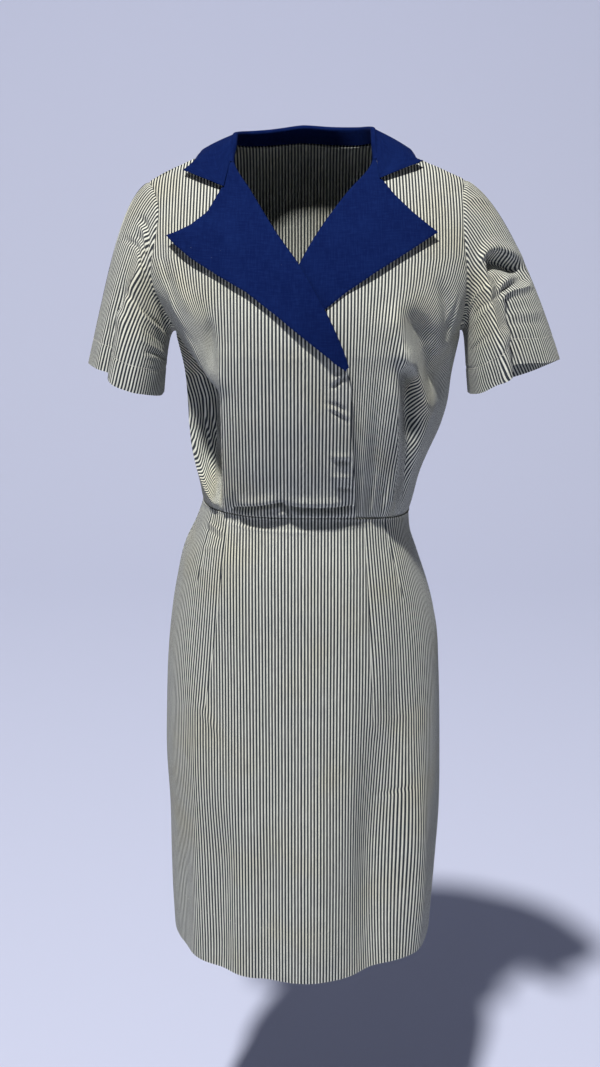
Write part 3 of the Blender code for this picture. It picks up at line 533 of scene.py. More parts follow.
def striped_cotton():
    """Cream cotton with fine dark lines along it, a little aged, with its threads showing close up."""
    dye = Dye("striped_cotton")
    flat, (across, along) = dye.places()
    wander = dye.noise(flat, 30.0, 1.0, (1.0, 0.35, 1.0)) - 0.5
    turn = (across + wander * 0.0006) * (2 * math.pi / STRIPE_PITCH)
    line = dye.soft_step(turn.math("COSINE"), -0.08, 0.42)
    colour = dye.blend(line, CHARCOAL, CREAM)
    threads = dye.noise(flat, 900.0, 1.0, (1.0, 0.06, 1.0))
    shaded = dye.soft_step(threads, 0.35, 0.75, 0.0, 0.45)
    colour = dye.blend(shaded, colour, (0.62, 0.62, 0.66, 1.0), "MULTIPLY")
    worn = dye.noise(flat, 9.0, 3.0)
    colour = dye.blend(dye.soft_step(worn, 0.45, 0.72, 0.0, 0.55), colour, AGED, "MULTIPLY")
    faded = dye.noise(flat, 26.0, 3.0)
    colour = dye.blend(dye.soft_step(faded, 0.5, 0.8, 0.0, 0.10), colour, (0.52, 0.52, 0.50, 1.0))
    crumple = dye.noise(flat, 60.0, 3.0)
    height = dye.weave(across, along) * 0.10 + crumple * 1.2 + threads * 0.2
    roughness = dye.soft_step(faded, 0.2, 0.8, 0.80, 0.92)
    return dye.finish(colour, roughness, height, 0.0012, 0.06, 0.15)


STRIPED = ("striped_cotton", striped_cotton())

# Folds of both fronts
FRONT_CREASES = figures("""
    # the fold that falls from the right underarm, its upright edge, and the hollow behind it
    -146 -148 -93 -244 -3 6 18 9 0.16
    -88 -196 -90 -398 0 4 26 4 0.15
    -101 -174 -99 -214 0 7 4.5 -6.5 0.3
    -113 -262 -96 -335 -1 3 4 2.6 0.25
    -117 -264 -104 -348 -2 3 3 2.4 0.25
    -114 -258 -130 -228 1 3 4 1.8 0.3
    -122 -282 -112 -352 1 3 3 -2.2 0.25
    -127 -330 -104 -396 -2 6 4 5 0.25
    -116 -356 -99 -400 -2 3 3 2.8 0.25
    -158 -104 -130 -168 -4 4 6 -3 0.3
    -146 -98 -116 -170 -6 6 6 2 0.3
    -152 -150 -118 -196 -2 3 3 -1.4 0.3
    # soft upright waves on the right front and the puff over the waist seam
    -64 -225 -52 -382 2 10 10 2 0.3
    -44 -200 -26 -372 4 6 9 -2.2 0.3
    -36 -270 -22 -365 1 3 3 -0.9 0.3
    -18 -262 -6 -380 -2 8 10 2 0.3
    16 -240 22 -376 2 8 8 -1.4 0.3
    -80 -397.5 -23 -384 1 2 3 -6.5 0.12
    -26 -383.5 -12.5 -399.5 0.5 2.2 2.2 -6.2 0.15
    -19 -386.5 55 -389 -2 3 2 -6.8 0.1
    -74 -400 -18 -396 0 3.5 4 3.4 0.15
    -14 -396.5 56 -398 -0.5 4 4 3.4 0.12
    -72 -385 -30 -376 0 5 6 2.8 0.25
    -12 -378.5 45 -380 0 6 5 2.6 0.25
    # puckers beside the lap's edge, over its hidden fastenings
    32 -238.5 45.5 -226.5 0 2 2 -3 0.3
    30 -232 44.5 -222 0 2.4 2.4 1.8 0.3
    28 -256 46.5 -266 1 2.2 2.2 -2.4 0.3
    31 -266 48.5 -279 1 2 2 -2.2 0.3
    27 -261 46.5 -272.5 1 2.4 2.4 1 0.3
    35 -326 50.5 -329 0 2.4 2.4 -3 0.3
    33 -319 50 -321 0 3 3 1.8 0.3
    37 -361 54.5 -365 0 2.4 2.4 -3 0.3
    33 -345 52.5 -347 0 3 3 2 0.3
    # the fold that falls from the bust on the left, the hollow under it, and the folds below
    100 -160 116.5 -214 -1 18 8 7 0.25
    113 -204 140 -276 2 8.5 7 12.5 0.18
    120 -166 150 -262 4 10 14 -17 0.2
    111 -230 118 -300 1 7 9 -17 0.22
    104 -236 102 -400 6 20 4.2 7 0.12
    120 -292 109 -388 2 5 7 -6 0.22
    141 -284 114 -398 -2 9 6 7 0.2
    162 -214 152 -316 3 8 9 -7 0.25
    152 -138 164 -196 2 6 7 -7.5 0.25
    166 -198 174 -160 0 2.5 2.5 2.4 0.3
    160 -186 170 -150 0 2.5 2.5 1.8 0.3
    83 -250 78 -386 1 6 6 -1.8 0.3
    70 -230 68 -380 1 5 6 1.4 0.3
    # gathers let into the waist seam at either side
    70 -356 67 -403.5 0 2.8 2.2 2.2 0.22
    77 -366 74 -403.5 0 2.2 2.6 -2.6 0.22
    84 -352 80 -403.5 0 2.8 2 2.8 0.22
    92 -368 87 -403.5 0 2 2.6 -2.8 0.22
    101 -350 94 -405 0 3 2.2 2.8 0.22
    109 -366 101 -406 0 2.2 2.8 -2.8 0.22
    116 -362 108 -408 0 2.6 2.2 2.6 0.22
    -78 -372 -76 -402 0 2.4 2.4 -1.8 0.22
    -96 -376 -90.5 -404 0 2.2 2.4 2.4 0.22
    -104 -380 -98.5 -404 0 2.2 2.2 -2.2 0.22
""", CREASE_UNITS)
# The stripes slant inwards past each front's fold: how far they have slid by each height, and between which
# places across the slant begins
STRIPE_SLIDE = {
    "right": Table("height slide start end", """
    -420 -128 -96 -105
    -350 -112 -92 -103
    -300 -100 -90 -101
    -240 -76 -89.5 -103
    -200 -50 -89.5 -118
    -170 -28 -93 -135
    -140 -10 -103 -155
    -110 0 -110 -165
""", MM),
    "left": Table("height slide start end", """
    -420 170 100 112
    -330 132 106 118
    -260 94 105 117
    -225 70 108 126
    -206 56 108 132
    -172 30 100 142
    -135 6 100 160
    -110 0 100 165
""", MM),
}
EARLY_SLIDE = {"right": 0.0, "left": 0.20}
# Behind the right front's upright fold the cloth falls well back, under the drape's lower edge
POCKET = Table("height back", """
    -405 -75
    -385 -52
    -360 -30
    -330 -20
    -200 -16
""", MM)
POCKET_EDGE = -0.0905
POCKET_TOP = (-0.250, -0.211)
POCKET_SIDE = -0.131


def pocket(points):
    """How far the cloth behind the right front's fold lies back from the bodice's form."""
    x, y, z = points[..., 0], points[..., 1], points[..., 2]
    share = (x - POCKET_EDGE) / (POCKET_SIDE - POCKET_EDGE)
    top = POCKET_TOP[0] + (POCKET_TOP[1] - POCKET_TOP[0]) * share
    inside = ease(x, POCKET_EDGE, POCKET_EDGE - 0.0045) * ease(z, top + 0.001, top - 0.007)
    inside *= ease(z, WAIST_HEIGHT + 0.0005, -0.385)
    return np.maximum(POCKET.read("back", z) - y, 0.0) * inside * ease(y, 0.004, -0.016)


BODICE_GRAIN = Grain(bodice_form, (0.0, 2.0))
BODICE_SIDES = 0.45
AT_SEAM = 0.014


def fold_heights(base, turn, creases, plain_sides, at_waist, wave, wave_waist, seams, at_seam=None):
    """How far a panel's creases and ripples stand out, and how far it is from its seams and its waist."""
    from_seam, from_waist = gap_to(base, *seams), gap_to(base, base[:1])
    x, z = base[..., 0], base[..., 2]
    height = crease_height(creases, x, z) * ease(np.abs(np.cos(turn)), 0.0, plain_sides)
    height *= ease(from_waist, 0.0, at_waist)
    if at_seam:
        height *= ease(from_seam, 0.0, at_seam)
    height += ripple(x, z, *wave) * ease(from_waist, 0.0, wave_waist) * ease(from_seam, 0.0, 0.02)
    return height, from_seam, from_waist


def front_rows():
    low = np.concatenate((np.linspace(0.0, 0.15, 30), np.linspace(0.15, 1.0, 84)[1:]))
    return np.concatenate((low, np.linspace(1.0, 2.0, 96)[1:]))[:, None]


def front_panel(name, side, edge, out, columns):
    """One front, from its side seam and armhole to its inner edge."""
    levels = front_rows()
    outer_turn = side * armhole_turn(levels)
    share = fine(columns, (True, False))[None, :]
    turn = outer_turn + (edge_turn(edge, levels) - outer_turn) * share
    level = np.broadcast_to(levels, turn.shape)
    base = bodice_form(turn, level)
    facing = form_normals(bodice_form, turn, level)
    grain = BODICE_GRAIN.read(turn, level)
    x, z = base[..., 0], base[..., 2]
    hand = "right" if side < 0 else "left"
    slides, early = STRIPE_SLIDE[hand], EARLY_SLIDE[hand]
    past = early * ease(np.abs(x), 0.045, 0.100)
    past += (1 - early) * ease(x, slides.read("start", z), slides.read("end", z))
    height, from_seam, from_waist = fold_heights(
        base, turn, FRONT_CREASES, BODICE_SIDES, 0.006, (3, 0.07, 0.0006), 0.03, [base[:, :1]], AT_SEAM
    )
    forward = unit(facing * stack(1 - 0.75 * ease(np.abs(np.cos(turn)), 0.0, BODICE_SIDES), 1.0, 1.0))
    points = base + forward * height[..., None]
    points += facing * (tucked(from_seam) + tucked(from_waist) + out(base))[..., None]
    points[..., 1] -= HALF_SEAM_GAP
    grain[..., 0] += slides.read("slide", z) * past
    if side < 0:
        before = np.linalg.norm(np.diff(points, axis=1), axis=-1)
        points[..., 1] += pocket(base)
        longer = np.linalg.norm(np.diff(points, axis=1), axis=-1) - before
        grain[:, :-1, 0] -= np.cumsum(longer[:, ::-1], axis=1)[:, ::-1]
    dress_piece(name, points, facing, grain, STRIPED)


front_panel("front_over", -1, OVER_EDGE, over_out, 132)


# ---- The left front of the bodice
# It is the same striped cotton, cut like the right front, and is sewn to the back and the skirt in the same
# way. Most of its inner edge lies hidden under the right front.

front_panel("front_under", 1, UNDER_EDGE, under_out, 138)


# ---- The back of the bodice
# One piece of the striped cotton from armhole to armhole, sewn to the fronts at the shoulders and the sides,
# with a few soft folds falling to the gathers at the waist.

NECK_HALF = 0.081
BACK_NECK_DEPTH = 0.143
NECK_STARTS = 1.3
MIDDLE_SHARE = 0.40
BACK_CREASES = figures("""
    -85 -240 -70 -398 2 16 14 5.5 0.25
    -56 -250 -49 -390 -2 9 10 -3 0.25
    -28 -280 -27 -395 1 10 12 2.4 0.3
    18 -250 14 -395 1 12 10 -3 0.3
    45 -260 38 -398 -2 12 14 5 0.25
    74 -280 62 -392 1 8 10 -3 0.3
    112 -220 90 -398 3 14 16 6 0.25
    -115 -250 -98 -392 1 10 10 -3.2 0.3
    -150 -140 -90 -235 4 10 12 3 0.35
    165 -150 105 -245 -4 12 10 3 0.35
    -90 -60 80 -66 -4 10 12 1.4 0.35
    -62 -366 -58 -404 0 2.6 2.6 1.6 0.22
    -72 -372 -67 -404 0 2.6 2.6 -1.8 0.22
    -82 -360 -76 -404 0 2.6 2.6 1.8 0.22
    50 -368 47 -404 0 2.6 2.6 -1.6 0.22
    62 -360 57 -404 0 2.6 2.6 1.8 0.22
    78 -364 71 -404 0 2.6 2.6 1.8 0.22
""", CREASE_UNITS)
BACK_SLIDE = 0.045


def back_form(turn, level):
    """The bodice's form counted from the middle of the back."""
    return bodice_form(math.pi - turn, level)


def back_panel():
    levels = front_rows()
    arm = armhole_turn(levels)
    neck = {side: abs(float(turn_at(side * NECK_HALF, SHOULDER))) for side in (-1, 1)}
    blend = ease(levels, NECK_STARTS, SHOULDER)
    turns = []
    shares = fine(44, (True, False))
    for side, part in ((-1, shares), (1, shares[::-1])):
        plain = arm * MIDDLE_SHARE
        inner = plain + (neck[side] - plain) * blend
        turns.append(side * (arm + (inner - arm) * part[None, :]))
    right, left = turns
    middle = right[:, -1:] + (left[:, :1] - right[:, -1:]) * np.linspace(0.0, 1.0, 44)[None, 1:-1]
    turn = np.concatenate((right, middle, left), axis=1)
    top_x = bodice_form(turn[-1:], SHOULDER)[..., 0]
    near = np.clip(np.abs(top_x) / NECK_HALF, 0.0, 1.0)
    top = SHOULDER - BACK_NECK_DEPTH * np.sqrt(1.0 - near**2)
    share = np.clip((levels - NECK_STARTS) / (SHOULDER - NECK_STARTS), 0.0, 1.0)
    level = levels - share * (SHOULDER - top)
    base = back_form(turn, level)
    facing = form_normals(back_form, turn, level)
    grain = Grain(back_form, (0.0, 2.0)).read(turn, level)
    x, z = base[..., 0], base[..., 2]
    grain[..., 0] += BACK_SLIDE * ease(z, -0.16, -0.40) * (ease(x, 0.02, 0.12) - ease(x, -0.02, -0.12))
    height, from_seam, from_waist = fold_heights(
        base, turn, BACK_CREASES, BODICE_SIDES, 0.006, (8, 0.08, 0.0008), 0.03, (base[:, :1], base[:, -1:])
    )
    height += tucked(from_seam) + tucked(from_waist)
    points = base + facing * height[..., None]
    points[..., 1] += HALF_SEAM_GAP
    dress_piece("bodice_back", points, facing, grain, STRIPED)


back_panel()


# ---- The skirt
# A straight front and back of the striped cotton, sewn to the bodice without a band. Each side of the front
# has a long dart and a short one. The hem is turned up deep inside and caught with small hand stitches.

HEM_HEIGHT = -0.988
SKIRT_HEM_DEPTH = 0.070
SKIRT_SIDES = 0.3
DART_DEPTH = 0.0010
DART_FADES = 0.004
SKIRT = Table("drop right left front back", """
    0 120 128 98 88
    30 131 131 105 94
    55 143 139 111 101
    107 156 155 119 114
    160 164 166 123 122
    201 168 169 127 125
    270 172 173 133 125
    325 174 175 138 123
    411 171 176 145 121
    485 171 173 151 120
    530 171 171 155 120
    583 170 169 158 120
""", MM)
# The darts of the front from the waist to their points, and how much cloth each takes in at the waist
DARTS = {
    "right_side": (-0.1060, -0.407, -0.1290, -0.500, 0.011),
    "right_long": (-0.0865, -0.406, -0.1180, -0.649, 0.019),
    "left_long": (0.0715, -0.406, 0.0850, -0.654, 0.019),
    "left_side": (0.0950, -0.408, 0.1200, -0.507, 0.011),
}
SKIRT_FRONT_CREASES = figures("""
    12 -780 12 -1000 0 34 34 6.5 0.3
    -98 -800 -104 -1000 0 18 18 -7 0.3
    -46 -820 -47 -1000 0 14 16 -4.5 0.3
    92 -700 90 -1000 0 30 26 -23 0.45
    140 -740 143 -1000 0 16 16 9.5 0.4
    -150 -860 -152 -1000 0 10 10 -5 0.4
    # long soft waves that hang from the hips, and the marks of the seam allowance under the waist
    -52 -520 -44 -900 3 10 12 -2.2 0.3
    -28 -560 -20 -860 -2 10 12 1.8 0.3
    30 -500 36 -880 2 12 10 -1.6 0.3
    58 -600 62 -920 2 10 12 2 0.3
    -82 -660 -86 -960 2 12 10 2 0.3
    112 -560 116 -880 0 8 10 -2 0.3
    -128 -640 -132 -900 0 8 10 1.8 0.3
    -122 -642 -104 -668 0 4 5 1.6 0.4
    78 -650 94 -676 0 4 5 1.4 0.4
    -85 -417 10 -420.5 -1 2 2.2 0.8 0.2
    -83 -414 0 -416.5 -1 1.6 1.6 -0.7 0.2
    22 -418 78 -416 1 2 2 0.6 0.2
    -112 -424 -94 -429 1 2 2.2 1.6 0.3
    -116 -431 -96 -436 1 2 2.2 -1.4 0.3
    -120 -452 -98 -447 1 3 3 1.2 0.3
    50 -470 66 -466 0 3 3 0.6 0.3
    100 -755 132 -748 0 3 3 -1.2 0.3
""", CREASE_UNITS)
SKIRT_BACK_CREASES = figures("""
    -110 -760 -118 -1000 0 26 26 7.5 0.4
    -40 -800 -36 -1000 0 24 24 -6.5 0.4
    30 -780 34 -1000 0 28 28 7.5 0.4
    105 -800 110 -1000 0 24 24 -5.5 0.4
    -70 -560 -72 -880 2 14 12 2 0.3
    -12 -600 -6 -900 2 12 14 -2 0.3
    66 -540 70 -860 -2 12 12 2 0.3
    -100 -480 -30 -500 4 8 10 1.4 0.35
    100 -500 34 -484 -4 8 10 1.4 0.35
""", CREASE_UNITS)


def skirt_form(turn, drop):
    """The skirt without its folds, with drop 0 at the waist seam and 1 at the hem."""
    turn, drop = np.broadcast_arrays(np.asarray(turn, float), np.asarray(drop, float))
    side = power(np.sin(turn), 2 / SQUARENESS)
    along = power(np.cos(turn), 2 / SQUARENESS)
    fallen = drop * (WAIST_HEIGHT - HEM_HEIGHT)
    x = by_side(side, SKIRT.read("right", fallen), SKIRT.read("left", fallen)) * side
    depth = np.where(along > 0, SKIRT.read("front", fallen), SKIRT.read("back", fallen))
    top = WAIST_HEIGHT - sag("waist", turn)
    low = HEM_HEIGHT - sag("hem", turn)
    return stack(x, -depth * along, top + (low - top) * drop)


def skirt_back_form(turn, drop):
    """The skirt's form counted from the middle of the back."""
    return skirt_form(math.pi - turn, drop)


def skirt_folds(base, turn, creases, wave):
    height, from_seam, from_waist = fold_heights(
        base, turn, creases, SKIRT_SIDES, 0.004, wave, 0.06, (base[:, :1], base[:, -1:])
    )
    return height + tucked(from_seam) + tucked(from_waist, -0.0012, 0.0018)


def skirt_rows():
    top = np.linspace(0.0, 0.06, 22)
    return np.concatenate((top, np.linspace(0.06, 1.0, 150)[1:]))[:, None]


def dart_turn(dart, drop):
    """The turn along a dart's line, held below its point."""
    top_x, top_z, low_x, low_z, _ = dart
    z = np.maximum(WAIST_HEIGHT - drop * (WAIST_HEIGHT - HEM_HEIGHT), low_z)
    share = np.clip((top_z - z) / (top_z - low_z), 0.0, 1.0)
    x = top_x + (low_x - top_x) * share
    fallen = WAIST_HEIGHT - z
    width = by_side(x, SKIRT.read("right", fallen), SKIRT.read("left", fallen))
    return np.sign(x) * np.arcsin(np.clip(np.abs(x) / width, 0.0, 1.0) ** (SQUARENESS / 2)), 1.0 - share


def skirt_front_panel():
    drops = skirt_rows()
    lines = [np.full_like(drops, -math.pi / 2)]
    takes = []
    for name in ("right_side", "right_long", "left_long", "left_side"):
        turn, left = dart_turn(DARTS[name], drops)
        lines.append(turn)
        takes.append(left * DARTS[name][4])
    lines.append(np.full_like(drops, math.pi / 2))
    cells = (34, 12, 84, 12, 34)
    turns, at_dart = [lines[0]], []
    for start, end, count in zip(lines, lines[1:], cells):
        turns.append(start + (end - start) * np.linspace(0.0, 1.0, count + 1)[None, 1:])
        at_dart.append(sum(part.shape[1] for part in turns) - 1)
    turn = np.concatenate(turns, axis=1)
    drop = np.broadcast_to(drops, turn.shape)
    base = skirt_form(turn, drop)
    facing = form_normals(skirt_form, turn, drop)
    grain = Grain(skirt_form, (0.0, 1.0)).read(turn, drop)
    places = np.stack((grain[:, :-1], grain[:, 1:]), axis=2)
    columns = np.arange(turn.shape[1] - 1)
    for column, take, side in zip(at_dart[:4], takes, (-1, -1, 1, 1)):
        beyond = columns < column if side < 0 else columns >= column
        places[..., 0] += side * take[:, :, None] * beyond[:, None]
    height = skirt_folds(base, turn, SKIRT_FRONT_CREASES, (5, 0.09, 0.0007))
    for column, take in zip(at_dart[:4], takes):
        height[:, column] -= DART_DEPTH * np.clip(take[:, 0] / DART_FADES, 0.0, 1.0)
    points = base + facing * height[..., None]
    points[..., 1] -= HALF_SEAM_GAP
    dress_piece("skirt_front", points, facing, grain, STRIPED, places=places)
    return points, facing


def skirt_back_panel():
    drops = skirt_rows()
    turn = (math.pi / 2) * (2 * fine(142)[None, :] - 1) + 0 * drops
    drop = np.broadcast_to(drops, turn.shape)
    base = skirt_back_form(turn, drop)
    facing = form_normals(skirt_back_form, turn, drop)
    grain = Grain(skirt_back_form, (0.0, 1.0)).read(turn, drop)
    height = skirt_folds(base, turn, SKIRT_BACK_CREASES, (6, 0.09, 0.0008))
    points = base + facing * height[..., None]
    points[..., 1] += HALF_SEAM_GAP
    dress_piece("skirt_back", points, facing, grain, STRIPED)
    return points, facing


SKIRTS = {"front": skirt_front_panel(), "back": skirt_back_panel()}


# ---- The sleeves
# Short set-in sleeves of the striped cotton, pressed with a crease, whose hems are turned up and machine
# stitched. Each has a fold down its front, past which the hem steps back and up.

SLEEVE_HEM_DEPTH = 0.030
SLEEVE_COLUMNS = "station x y z"
SLEEVE_UNITS = (1.0, MM, MM, MM)
SLEEVE_HEM = {
    "right": Table(SLEEVE_COLUMNS, """
    0 -164 -6 -276
    0.18 -166 -40 -273
    0.36 -181 -70 -265
    0.54 -199 -79 -259
    0.66 -215 -73 -253
    0.75 -223 -50 -247
    0.88 -241 -30 -243
    1 -253 -2 -243
    1.2 -249 34 -252
    1.45 -224 64 -264
    1.7 -190 64 -272
    1.87 -170 36 -276
    2 -164 -6 -276
""", SLEEVE_UNITS),
    "left": Table(SLEEVE_COLUMNS, """
    0 195 -4 -277
    0.16 196 -36 -272
    0.3 204 -62 -265
    0.45 218 -79 -253
    0.58 232 -83 -244
    0.67 240 -56 -236
    0.8 261 -40 -235
    0.91 286 -22 -238
    1 303 3 -239
    1.18 294 40 -254
    1.38 276 60 -267
    1.58 250 67 -277
    1.77 223 54 -281
    1.9 203 27 -280
    2 195 -4 -277
""", SLEEVE_UNITS),
}
SLEEVE_RUN = Table("from_top lead spread hang", """
    0 36 0 100
    0.4 24 1 90
    0.7 14 3 75
    0.9 10 5 60
    1 10 6 55
""", SLEEVE_UNITS)
SLEEVE_LEAD = {"right": 1.0, "left": 1.3}
SLEEVE_AXIS = {
    "right": ((-0.25, 0.0, -0.97), (-0.10, 0.0, -0.99)),
    "left": ((0.34, 0.0, -0.94), (0.12, 0.0, -0.99)),
}
# Creases of each sleeve, by station round the opening and share down from the armhole in place of x and z
SLEEVE_CREASE_UNITS = (1.0,) * 7 + (MM, 1.0)
SLEEVE_CREASES = {
    "right": figures("""
    # the edge of the fold down the front, over the outer part that stands back
    0.5 0.16 0.73 0.76 -0.02 0.014 0.08 3.5 0.12
    0.73 0.7 0.715 1.06 0 0.01 0.08 4.3 0.1
    0.775 0.62 0.765 1.06 0 0.04 0.024 -3.8 0.15
    0.84 0.8 0.8 1.04 0 0.02 0.02 -1.7 0.2
    # creases from the cap and the underarm
    0.9 0.42 0.52 0.29 0 0.014 0.014 -2.6 0.15
    0.84 0.24 0.6 0.12 0 0.026 0.026 -3.5 0.2
    0.8 0.34 0.6 0.2 0 0.018 0.018 -2.1 0.2
    0.84 0.29 0.6 0.16 0 0.016 0.016 1.6 0.2
    0.7 0.6 0.26 0.45 0 0.018 0.03 -2.5 0.2
    0.48 0.56 0.23 0.5 0 0.03 0.03 2.5 0.25
    0.53 0.74 0.15 0.69 0.01 0.016 0.016 1.2 0.25
    0.42 0.78 0.05 0.71 0.01 0.014 0.014 -1.5 0.25
    0.4 0.8 0.08 0.74 0.01 0.012 0.012 1 0.25
    0.56 0.66 0.2 0.6 0 0.016 0.016 -1 0.25
    1.3 0.2 1.45 0.8 0 0.06 0.06 1.3 0.3
    1.6 0.3 1.66 0.9 0 0.06 0.06 -1.3 0.3
    1.1 0.16 1.5 0.3 0 0.04 0.04 0.8 0.3
    1.2 0.52 1.7 0.6 0 0.022 0.022 -0.8 0.3
""", SLEEVE_CREASE_UNITS),
    "left": figures("""
    0.74 0.66 0.665 0.88 0 0.01 0.07 3.6 0.12
    0.672 0.82 0.58 1.06 0 0.01 0.08 4.3 0.1
    0.74 0.72 0.64 1.06 0 0.05 0.026 -3.8 0.15
    0.76 0.86 0.72 1.04 0 0.018 0.018 -1.6 0.2
    # the pressed creases across the sleeve, and the hollow above them with the fold that hangs over it
    0.6 0.29 0.95 0.56 0 0.05 0.018 5 0.2
    0.68 0.43 0.96 0.6 0 0.03 0.055 -18 0.18
    0.69 0.62 0.96 0.6 0 0.018 0.022 4 0.15
    0.7 0.65 0.96 0.64 0 0.01 0.01 -2.8 0.15
    0.7 0.68 0.97 0.675 0 0.01 0.01 2.6 0.15
    0.72 0.705 0.96 0.705 0 0.01 0.01 -1.4 0.15
    0.28 0.22 0.7 0.63 0 0.016 0.024 2 0.25
    0.35 0.45 0.67 0.66 0 0.014 0.014 -1.8 0.25
    0.3 0.52 0.56 0.62 0 0.012 0.012 1.2 0.25
    0.72 0.78 0.96 0.79 0 0.014 0.014 1.2 0.2
    0.74 0.82 0.95 0.83 0 0.012 0.012 -1.2 0.2
    0.86 0.06 0.96 0.22 0 0.02 0.02 1.4 0.3
    0.25 0.7 0.48 0.74 0 0.014 0.014 -1.4 0.25
    1.3 0.2 1.42 0.8 0 0.06 0.06 1.6 0.3
    1.58 0.3 1.66 0.9 0 0.06 0.06 -1.6 0.3
    1.2 0.52 1.7 0.6 0 0.022 0.022 -1 0.3
""", SLEEVE_CREASE_UNITS),
}


def armhole(side, count):
    """Points round an armhole from the underarm, up the front and down the back."""
    up = 1.0 + ease(np.linspace(0.0, 1.0, count), -0.15, 1.0) - ease(0.0, -0.15, 1.0)
    up = 1.0 + (up - 1.0) / (up[-1] - 1.0)
    level = np.concatenate((up, up[-2:0:-1]))
    turn = side * armhole_turn(level)
    turn[count:] = math.pi - turn[count:]
    points = bodice_form(turn, level)
    facing = form_normals(bodice_form, turn, level)
    along = unit(np.roll(points, -1, axis=0) - np.roll(points, 1, axis=0))
    away = unit(side * np.cross(along, facing))
    steps = np.linalg.norm(np.roll(points, -1, axis=0) - points, axis=1)
    length = np.concatenate(([0.0], np.cumsum(steps)))
    top = length[count - 1]
    station = np.where(length < top, length / top, 1.0 + (length - top) / (length[-1] - top))
    return points, facing, away, station[:-1]


def sleeve_grain(points, top):
    """Places on the flat cloth of a sleeve, on which stripes run down it and rings lie square to them."""
    closed = np.concatenate((points, points[:, :1]), axis=1)
    down = unit(points[-1].mean(axis=0) - points[0].mean(axis=0))
    fallen = np.maximum.accumulate((closed - points[0].mean(axis=0)) @ down, axis=0)
    cuts = np.linspace(fallen.min(), fallen.max(), 160)
    columns = range(closed.shape[1])
    rings = [[np.interp(cuts, fallen[:, j], closed[:, j, axis]) for axis in range(3)] for j in columns]
    rings = np.moveaxis(rings, (0, 1, 2), (1, 2, 0))
    round_it = cumulated(rings, 1)
    round_it = round_it - round_it[:, top : top + 1]
    across = np.stack([np.interp(fallen[:, j], cuts, round_it[:, j]) for j in columns], axis=1)
    return np.stack((across, fallen), axis=-1)


def sleeve(name, side):
    start, seam_facing, away, station = armhole(side, 72)
    hem = SLEEVE_HEM[name]
    end = np.stack([hem.read(axis, station) for axis in "xyz"], axis=-1)
    from_top = np.abs(1.0 - station)
    outer_axis, inner_axis = (unit(np.array(axis)) for axis in SLEEVE_AXIS[name])
    axis = unit(outer_axis + (inner_axis - outer_axis) * from_top[:, None])
    start = start + away * 2 * HALF_SEAM_GAP
    lead = start + away * (SLEEVE_LEAD[name] * SLEEVE_RUN.read("lead", from_top))[:, None]
    lead = lead + np.outer(SLEEVE_RUN.read("spread", from_top), (side, 0.0, 0.0))
    hang = end - axis * SLEEVE_RUN.read("hang", from_top)[:, None]
    w = fine(84, (True, False))[:, None, None]
    points = (1 - w) ** 3 * start + 3 * (1 - w) ** 2 * w * lead + 3 * (1 - w) * w * w * hang + w**3 * end
    around = np.roll(points, -1, axis=1) - np.roll(points, 1, axis=1)
    facing = unit(np.cross(around, np.gradient(points, axis=0)))
    if np.sum(facing[-1] * (points[-1] - points[-1].mean(axis=0))) < 0:
        facing = -facing
    facing[0] = seam_facing
    top = int(np.argmin(np.abs(station - 1.0)))
    grain = sleeve_grain(points, top)
    places = np.broadcast_arrays(station[None, :], w[:, :, 0])
    from_start = gap_to(points, points[:1])
    height = crease_height(SLEEVE_CREASES[name], *places) * ease(from_start, 0.0, 0.01)
    height += tucked(from_start)
    fallen = cumulated(points, 0)
    height += tucked(fallen[-1] - fallen - SLEEVE_HEM_DEPTH, 0.0008, 0.0014)
    outer = points + facing * height[..., None]
    dress_piece(f"sleeve_{name}", outer, facing, grain, STRIPED, tube=True)
    return outer, facing


SLEEVES = {"right": sleeve("right", -1), "left": sleeve("left", 1)}


# ---- The lapels
# The striped fronts turn back at the neck, and a plain navy facing is sewn over the turned cloth. It rolls
# round the front's edge and lies on it as a long pointed lapel.

LAY_GAP = 0.0007
FACING = 0.0010
SEAM_GAP = 0.0003
FACING_HEIGHT = LAY_GAP + 2 * FACING + SEAM_GAP
THIN = 0.0008
CLOTH_SHORT = 0.0006
OVER_LAPEL = figures("""
    -12.6 -81.3 -12.8 1
    -23.5 -84.8 -25.7 1
    -32 -87.8 -36.1 1
    -44 -104 -63 2
    -55 -121 -77 4
    -64 -137 -86.5 7
    -71 -145 -91 10
    -81 -136 -99 9
    -95 -118 -111 7
    -112 -89 -126 5
    -130 -59 -141 5
    -152 -29 -162 5
    -176 1 -185 5
    -197 28 -206 4
    -216.5 45 -218.5 2
""", MM)
UNDER_LAPEL = figures("""
    -9.8 80.4 -9.5 1
    -20.5 83.2 -20.7 1
    -27.5 85.1 -28 1
    -37 99 -45 2
    -46 118 -63 3
    -55 135 -78 5
    -61 145 -86 6
    -72 131 -93 5
    -87 104 -107 4
    -104 77 -121 3
    -122 46 -139 1
    -143 22 -156 0
    -165 -4 -174 0
    -186 -26 -191 0
    -205 -42.5 -206.5 0
""", MM)
NAVY_CLOTH = (0.0028, 0.0095, 0.066, 1.0)
NAVY_LIGHT = (0.0085, 0.024, 0.120, 1.0)


